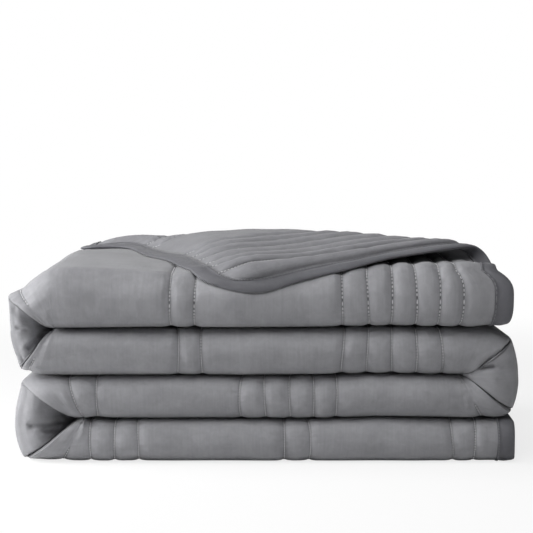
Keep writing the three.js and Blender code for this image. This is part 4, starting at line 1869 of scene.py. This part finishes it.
class ClothTexture:
    """Shader node group shared by the fabrics: a fine weave, slubs along the threads and soft mottling."""

    NAME = "cloth_texture"
    SETTINGS = {"Threads": 1400.0, "Slub Length": 0.05, "Mottle Scale": 38.0}
    MASKS = ("Height", "Slub", "Mottle", "Crinkle", "Hole")
    SLUB_NOISE = {"Scale": 420.0, "Detail": 3.0}
    MOTTLE_NOISE = {"Detail": 5.0, "Roughness": 0.6}
    CRINKLE_NOISE = {"Scale": 130.0, "Detail": 3.0, "Distortion": 0.6}
    FULL_TURN = 2.0 * math.pi

    @classmethod
    def group(cls) -> bpy.types.NodeTree:
        """The node group, built on first use."""
        found = bpy.data.node_groups.get(cls.NAME)
        return found if found else cls.build()

    @classmethod
    def build(cls) -> bpy.types.NodeTree:
        """Builds the group with its named inputs and outputs.

        Returns:
            The new node group.
        """
        tree = bpy.data.node_groups.new(cls.NAME, "ShaderNodeTree")
        cls.name_sockets(tree.interface)
        nodes = NodeTree(tree)
        entry = nodes.add("NodeGroupInput").outputs
        leave = nodes.add("NodeGroupOutput").inputs
        flat = entry["Flat"]
        parts = nodes.add("ShaderNodeSeparateXYZ", {0: flat}).outputs
        slub_across = nodes.math("MULTIPLY", parts[1], entry["Slub Length"])
        threads = nodes.add("ShaderNodeCombineXYZ", {0: parts[0], 1: slub_across}).outputs[0]
        noises = {
            "Slub": {"Vector": threads, **cls.SLUB_NOISE},
            "Mottle": {"Vector": flat, "Scale": entry["Mottle Scale"], **cls.MOTTLE_NOISE},
            "Crinkle": {"Vector": flat, **cls.CRINKLE_NOISE},
        }
        for name, inputs in noises.items():
            nodes.feed(nodes.add("ShaderNodeTexNoise", inputs).outputs[0], leave[name])
        nodes.feed(cls.weave(nodes, [parts[0], parts[1]], entry["Threads"]), leave["Height"])
        nodes.feed(cls.holes(nodes, parts[1]), leave["Hole"])
        return tree

    @classmethod
    def name_sockets(cls, face: bpy.types.NodeTreeInterface) -> None:
        """Names the group's inputs, with their usual values, and its outputs.

        Args:
            face: The group's interface.
        """
        face.new_socket("Flat", in_out="INPUT", socket_type="NodeSocketVector")
        for name, value in cls.SETTINGS.items():
            face.new_socket(name, in_out="INPUT", socket_type="NodeSocketFloat").default_value = value
        for name in cls.MASKS:
            face.new_socket(name, in_out="OUTPUT", socket_type="NodeSocketFloat")

    @classmethod
    def weave(
        cls, nodes: NodeTree, parts: list[bpy.types.NodeSocket], threads: bpy.types.NodeSocket
    ) -> bpy.types.NodeSocket:
        """Height of the crossing threads, from 0 to 1.

        Args:
            nodes: Helper of the node tree.
            parts: Sockets of the places along and across the flat cloth.
            threads: Socket of the number of threads to a metre.

        Returns:
            The socket with the height.
        """
        waves = []
        for part in parts:
            turns = nodes.math("MULTIPLY", part, threads)
            waves.append(nodes.math("SINE", nodes.math("MULTIPLY", turns, cls.FULL_TURN)))
        half = nodes.math("MULTIPLY", nodes.math("MULTIPLY", *waves), 0.5)
        return nodes.math("ADD", half, 0.5)

    @classmethod
    def holes(cls, nodes: NodeTree, across: bpy.types.NodeSocket) -> bpy.types.NodeSocket:
        """1 at the needle holes between two stitches, 0 at the middle of each stitch.

        Args:
            nodes: Helper of the node tree.
            across: Socket of the places across the flat cloth.

        Returns:
            The socket with the mask.
        """
        turns = nodes.math("MULTIPLY", across, cls.FULL_TURN / (STITCH_PITCH * METRE_PER_MM))
        half = nodes.math("MULTIPLY", nodes.math("COSINE", turns), 0.5)
        return nodes.math("SUBTRACT", 0.5, half)


@dataclass(frozen=True)
class ClothFinish:
    """A woven fabric: its two shades, gloss, sheen and weave."""

    name: str
    dark: tuple[float, float, float]
    light: tuple[float, float, float]
    roughness: float = 0.62
    roughness_change: float = 0.06
    specular: float = 0.3
    sheen: float = 0.2
    sheen_roughness: float = 0.45
    threads: float = 1400.0
    mottle_scale: float = 38.0
    slub_share: float = 0.2
    crinkle_share: float = 0.3
    shade_range: tuple[float, float] = (0.32, 0.68)
    weave_bump: float = 0.2
    bump_distance: float = 0.0003
    slub_height: float = 2.0
    crinkle_height: float = 12.0
    # Painted shade in the pleats and along the seams, darker needle holes, and the dark tint of both.
    pleat_shade_share: float = 0.55
    seam_shade_share: float = 0.3
    hole_share: float = 0.6
    shade_and_hole_tint: tuple[float, float, float] = (0.06, 0.06, 0.07)

    def material(self) -> bpy.types.Material:
        """The fabric's material, made on first use."""
        found = bpy.data.materials.get(self.name)
        return found if found else self.build()

    def build(self) -> bpy.types.Material:
        """Builds the material from the shared cloth texture.

        Returns:
            The new material.
        """
        material = bpy.data.materials.new(self.name)
        material.use_nodes = True
        nodes = NodeTree(material.node_tree)
        flat = nodes.add("ShaderNodeUVMap", uv_map=FLAT_MAP).outputs[0]
        inputs = {"Flat": flat, "Threads": self.threads, "Mottle Scale": self.mottle_scale}
        texture = nodes.add("ShaderNodeGroup", inputs, node_tree=ClothTexture.group())
        looks = {
            "Base Color": self.colour(nodes, texture),
            "Roughness": self.uneven_roughness(nodes, texture),
            "Normal": self.bump(nodes, texture),
            "Specular IOR Level": self.specular,
            "Sheen Weight": self.sheen,
            "Sheen Roughness": self.sheen_roughness,
        }
        shader = material.node_tree.nodes["Principled BSDF"]
        for name, value in looks.items():
            nodes.feed(value, shader.inputs[name])
        return material

    def colour(self, nodes: NodeTree, texture: bpy.types.Node) -> bpy.types.NodeSocket:
        """Colour of the cloth: mottled between its two shades, painted shade in pleats and seams, dark
        needle holes.

        Args:
            nodes: Helper of the node tree.
            texture: The cloth texture's node.

        Returns:
            The socket with the colour.
        """
        mottle_share = 1.0 - self.slub_share - self.crinkle_share
        mixed = nodes.math("MULTIPLY", texture.outputs["Slub"], self.slub_share)
        mixed = nodes.plus(mixed, texture.outputs["Crinkle"], self.crinkle_share)
        mixed = nodes.plus(mixed, texture.outputs["Mottle"], mottle_share)
        low, high = self.shade_range
        shade = nodes.add("ShaderNodeMapRange", {0: mixed, "From Min": low, "From Max": high})
        plain = nodes.blend(shade.outputs[0], (*self.dark, 1.0), (*self.light, 1.0))
        # Darkens by painted shade in the pleats and along the seams, and by the needle holes.
        pressed = self.shade_and_hole_share(nodes, texture)
        return nodes.blend(pressed, plain, (*self.shade_and_hole_tint, 1.0), "MULTIPLY")

    def shade_and_hole_share(self, nodes: NodeTree, texture: bpy.types.Node) -> bpy.types.NodeSocket:
        """Share of painted shade in the depth of the pleats and along the seams, and of dark in the needle
        holes.

        Args:
            nodes: Helper of the node tree.
            texture: The cloth texture's node.

        Returns:
            The socket with the share.
        """
        pleat = nodes.add("ShaderNodeAttribute", attribute_name=PAINTED_PLEAT_SHADE).outputs["Fac"]
        seam = nodes.add("ShaderNodeAttribute", attribute_name=SEAM_SHADE_LINE).outputs["Fac"]
        holes = nodes.math("MULTIPLY", texture.outputs["Hole"], self.hole_share)
        sewn = nodes.math("MULTIPLY", seam, nodes.math("ADD", holes, self.seam_shade_share))
        return nodes.math("MAXIMUM", nodes.math("MULTIPLY", pleat, self.pleat_shade_share), sewn)

    def uneven_roughness(self, nodes: NodeTree, texture: bpy.types.Node) -> bpy.types.NodeSocket:
        """Roughness that changes a little with the mottling.

        Args:
            nodes: Helper of the node tree.
            texture: The cloth texture's node.

        Returns:
            The socket with the roughness.
        """
        least, most = self.roughness - self.roughness_change, self.roughness + self.roughness_change
        inputs = {0: texture.outputs["Mottle"], "To Min": least, "To Max": most}
        return nodes.add("ShaderNodeMapRange", inputs).outputs[0]

    def bump(self, nodes: NodeTree, texture: bpy.types.Node) -> bpy.types.NodeSocket:
        """Normal of the weave, its slubs and the fine crinkles.

        Args:
            nodes: Helper of the node tree.
            texture: The cloth texture's node.

        Returns:
            The socket with the normal.
        """
        height = nodes.plus(texture.outputs["Height"], texture.outputs["Slub"], self.slub_height)
        height = nodes.plus(height, texture.outputs["Crinkle"], self.crinkle_height)
        inputs = {"Strength": self.weave_bump, "Distance": self.bump_distance, "Height": height}
        return nodes.add("ShaderNodeBump", inputs).outputs[0]


FACE_CLOTH = ClothFinish(name="face_cloth", dark=(0.215, 0.216, 0.229), light=(0.305, 0.305, 0.321))
REVERSE_CLOTH = ClothFinish(name="reverse_cloth", dark=(0.165, 0.165, 0.177), light=(0.240, 0.240, 0.255))
TAPE_CLOTH = ClothFinish(
    name="tape_cloth",
    dark=(0.098, 0.099, 0.110),
    light=(0.130, 0.130, 0.143),
    threads=1800.0,
    roughness=0.55,
)
TAPE_THREAD = ClothFinish(
    name="tape_thread", dark=(0.17, 0.17, 0.18), light=(0.22, 0.22, 0.23), sheen=0.1, weave_bump=0.0,
)
SEAM_THREAD = ClothFinish(
    name="seam_thread", dark=(0.68, 0.68, 0.70), light=(0.76, 0.76, 0.78), sheen=0.1, weave_bump=0.0,
)


@dataclass(frozen=True)
class SoftLight:
    """A square soft light: where it stands in metres, its side and its power."""

    name: str
    place: tuple[float, float, float]
    size: float
    watts: float

    def make(self, aim: tuple[float, float, float]) -> None:
        """Makes the light, facing a point.

        Args:
            aim: The point that it faces, in metres.
        """
        lamp = bpy.data.lights.new(self.name, "AREA")
        lamp.size = self.size
        lamp.energy = self.watts
        made = bpy.data.objects.new(self.name, lamp)
        made.location = self.place
        run_x, run_y, run_z = np.array(aim) - np.array(self.place)
        tip = math.atan2(math.hypot(run_x, run_y), -run_z)
        made.rotation_euler = (tip, 0.0, math.atan2(run_y, run_x) - math.pi / 2)
        bpy.context.scene.collection.objects.link(made)


@dataclass
class Studio:
    """Plain pale floor, soft light and the camera at the photograph's angle."""

    image_pixels: float = 533.0
    focal_pixels: float = 1560.0
    pitch_pixels: float = 105.5
    shift_pixels: float = 2.5
    sensor_width: float = 36.0
    camera_x: float = 0.0035
    camera_distance: float = 1.599
    camera_height: float = 0.3135
    floor_size: float = 24.0
    floor_colour: tuple[float, float, float] = (0.86, 0.86, 0.86)
    floor_roughness: float = 0.9
    floor_glow: float = 0.78
    floor_glow_from: float = 0.5
    floor_glow_to: float = 1.6
    world_colour: tuple[float, float, float] = (1.0, 1.0, 1.0)
    world_strength: float = 0.01
    backdrop_strength: float = 1.0
    light_aim: tuple[float, float, float] = (0.0, 0.0, 0.12)
    lights: tuple[SoftLight, ...] = (
        SoftLight("left_low", place=(-1.94, -0.24, 0.54), size=1.0, watts=37.0),
        SoftLight("left_high", place=(-1.64, 0.0, 1.27), size=1.0, watts=26.0),
        SoftLight("top_front", place=(-0.1, -1.0, 1.85), size=1.0, watts=22.0),
        SoftLight("right_fill", place=(1.31, -1.53, 1.0), size=1.2, watts=2.5),
    )

    def build(self) -> None:
        """Makes the floor, the world, the lights and the camera."""
        bpy.context.scene.view_settings.view_transform = "Standard"
        self.make_floor()
        self.make_world()
        for light in self.lights:
            light.make(self.light_aim)
        self.make_camera()

    def make_floor(self) -> None:
        """Makes the pale floor."""
        bpy.ops.object.select_all(action="DESELECT")
        bpy.ops.mesh.primitive_plane_add(size=self.floor_size, location=(0.0, 0.0, 0.0))
        floor = bpy.context.object
        floor.name = "studio_floor"
        material = bpy.data.materials.new("pale_floor")
        material.use_nodes = True
        shader = material.node_tree.nodes["Principled BSDF"]
        shader.inputs["Base Color"].default_value = (*self.floor_colour, 1.0)
        shader.inputs["Roughness"].default_value = self.floor_roughness
        self.brighten_floor(material)
        floor.data.materials.append(material)

    def brighten_floor(self, material: bpy.types.Material) -> None:
        """Lets the camera see the floor run out to white, as on a lit sweep.

        Args:
            material: The floor's material.
        """
        nodes = NodeTree(material.node_tree)
        output = material.node_tree.nodes["Material Output"]
        shader = material.node_tree.nodes["Principled BSDF"]
        place = nodes.add("ShaderNodeTexCoord").outputs["Object"]
        inputs = {
            "Value": nodes.add("ShaderNodeVectorMath", {0: place}, operation="LENGTH").outputs["Value"],
            "From Min": self.floor_glow_from,
            "From Max": self.floor_glow_to,
            "To Min": self.floor_glow,
        }
        glow = nodes.add("ShaderNodeMapRange", inputs, interpolation_type="SMOOTHSTEP").outputs["Result"]
        seen = nodes.add("ShaderNodeLightPath").outputs["Is Camera Ray"]
        share = nodes.math("MULTIPLY", glow, seen)
        white = nodes.add("ShaderNodeEmission").outputs[0]
        mix = nodes.add("ShaderNodeMixShader", {0: share, 1: shader.outputs[0], 2: white})
        nodes.feed(mix.outputs[0], output.inputs["Surface"])

    def make_world(self) -> None:
        """Makes the white backdrop that the camera sees, and the low even light from all round."""
        world = bpy.data.worlds.new("studio_world")
        world.use_nodes = True
        nodes = NodeTree(world.node_tree)
        background = world.node_tree.nodes["Background"]
        background.inputs["Color"].default_value = (*self.world_colour, 1.0)
        seen = nodes.add("ShaderNodeLightPath").outputs["Is Camera Ray"]
        extra = nodes.math("MULTIPLY", seen, self.backdrop_strength - self.world_strength)
        nodes.feed(nodes.math("ADD", extra, self.world_strength), background.inputs["Strength"])
        bpy.context.scene.world = world

    def make_camera(self) -> None:
        """Makes the camera: low, square to the front of the stack."""
        camera = bpy.data.cameras.new("photo_camera")
        camera.sensor_width = self.sensor_width
        camera.lens = self.sensor_width * self.focal_pixels / self.image_pixels
        camera.shift_y = self.shift_pixels / self.image_pixels
        made = bpy.data.objects.new("photo_camera", camera)
        front_y = CAD_BOX[0][1]
        pitch = math.atan(self.pitch_pixels / self.focal_pixels)
        made.location = (self.camera_x, front_y - self.camera_distance, self.camera_height)
        made.rotation_euler = (math.pi / 2 - pitch, 0.0, 0.0)
        bpy.context.scene.collection.objects.link(made)
        bpy.context.scene.camera = made


def main() -> None:
    """Builds the pieces in order and fastens them to the part's body."""
    logging.basicConfig(level=logging.INFO, format="%(message)s")
    fold = BlanketFold()
    quilting = Quilting(fold)
    binding = EdgeBinding(fold)
    stitching = Stitching(fold, quilting, binding)
    panel = QuiltedPanel(fold, quilting).build({
        ClothSide.FACE: FACE_CLOTH,
        ClothSide.REVERSE: REVERSE_CLOTH,
    })
    tape = binding.build(TAPE_CLOTH)
    seam_thread = stitching.build_seams(SEAM_THREAD)
    tape_thread = stitching.build_tape(TAPE_THREAD)
    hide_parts("blanket_panel")
    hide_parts("edge_binding")
    for piece, slot in (
        (panel, "quilted_cloth"), (tape, "binding_cloth"),
        (seam_thread, "quilted_cloth"), (tape_thread, "binding_cloth"),
    ):
        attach(piece, BODY)
        LOG.info("%s: %d faces", piece.name, len(piece.data.polygons))
    Studio().build()


if __name__ == "__main__":
    main()
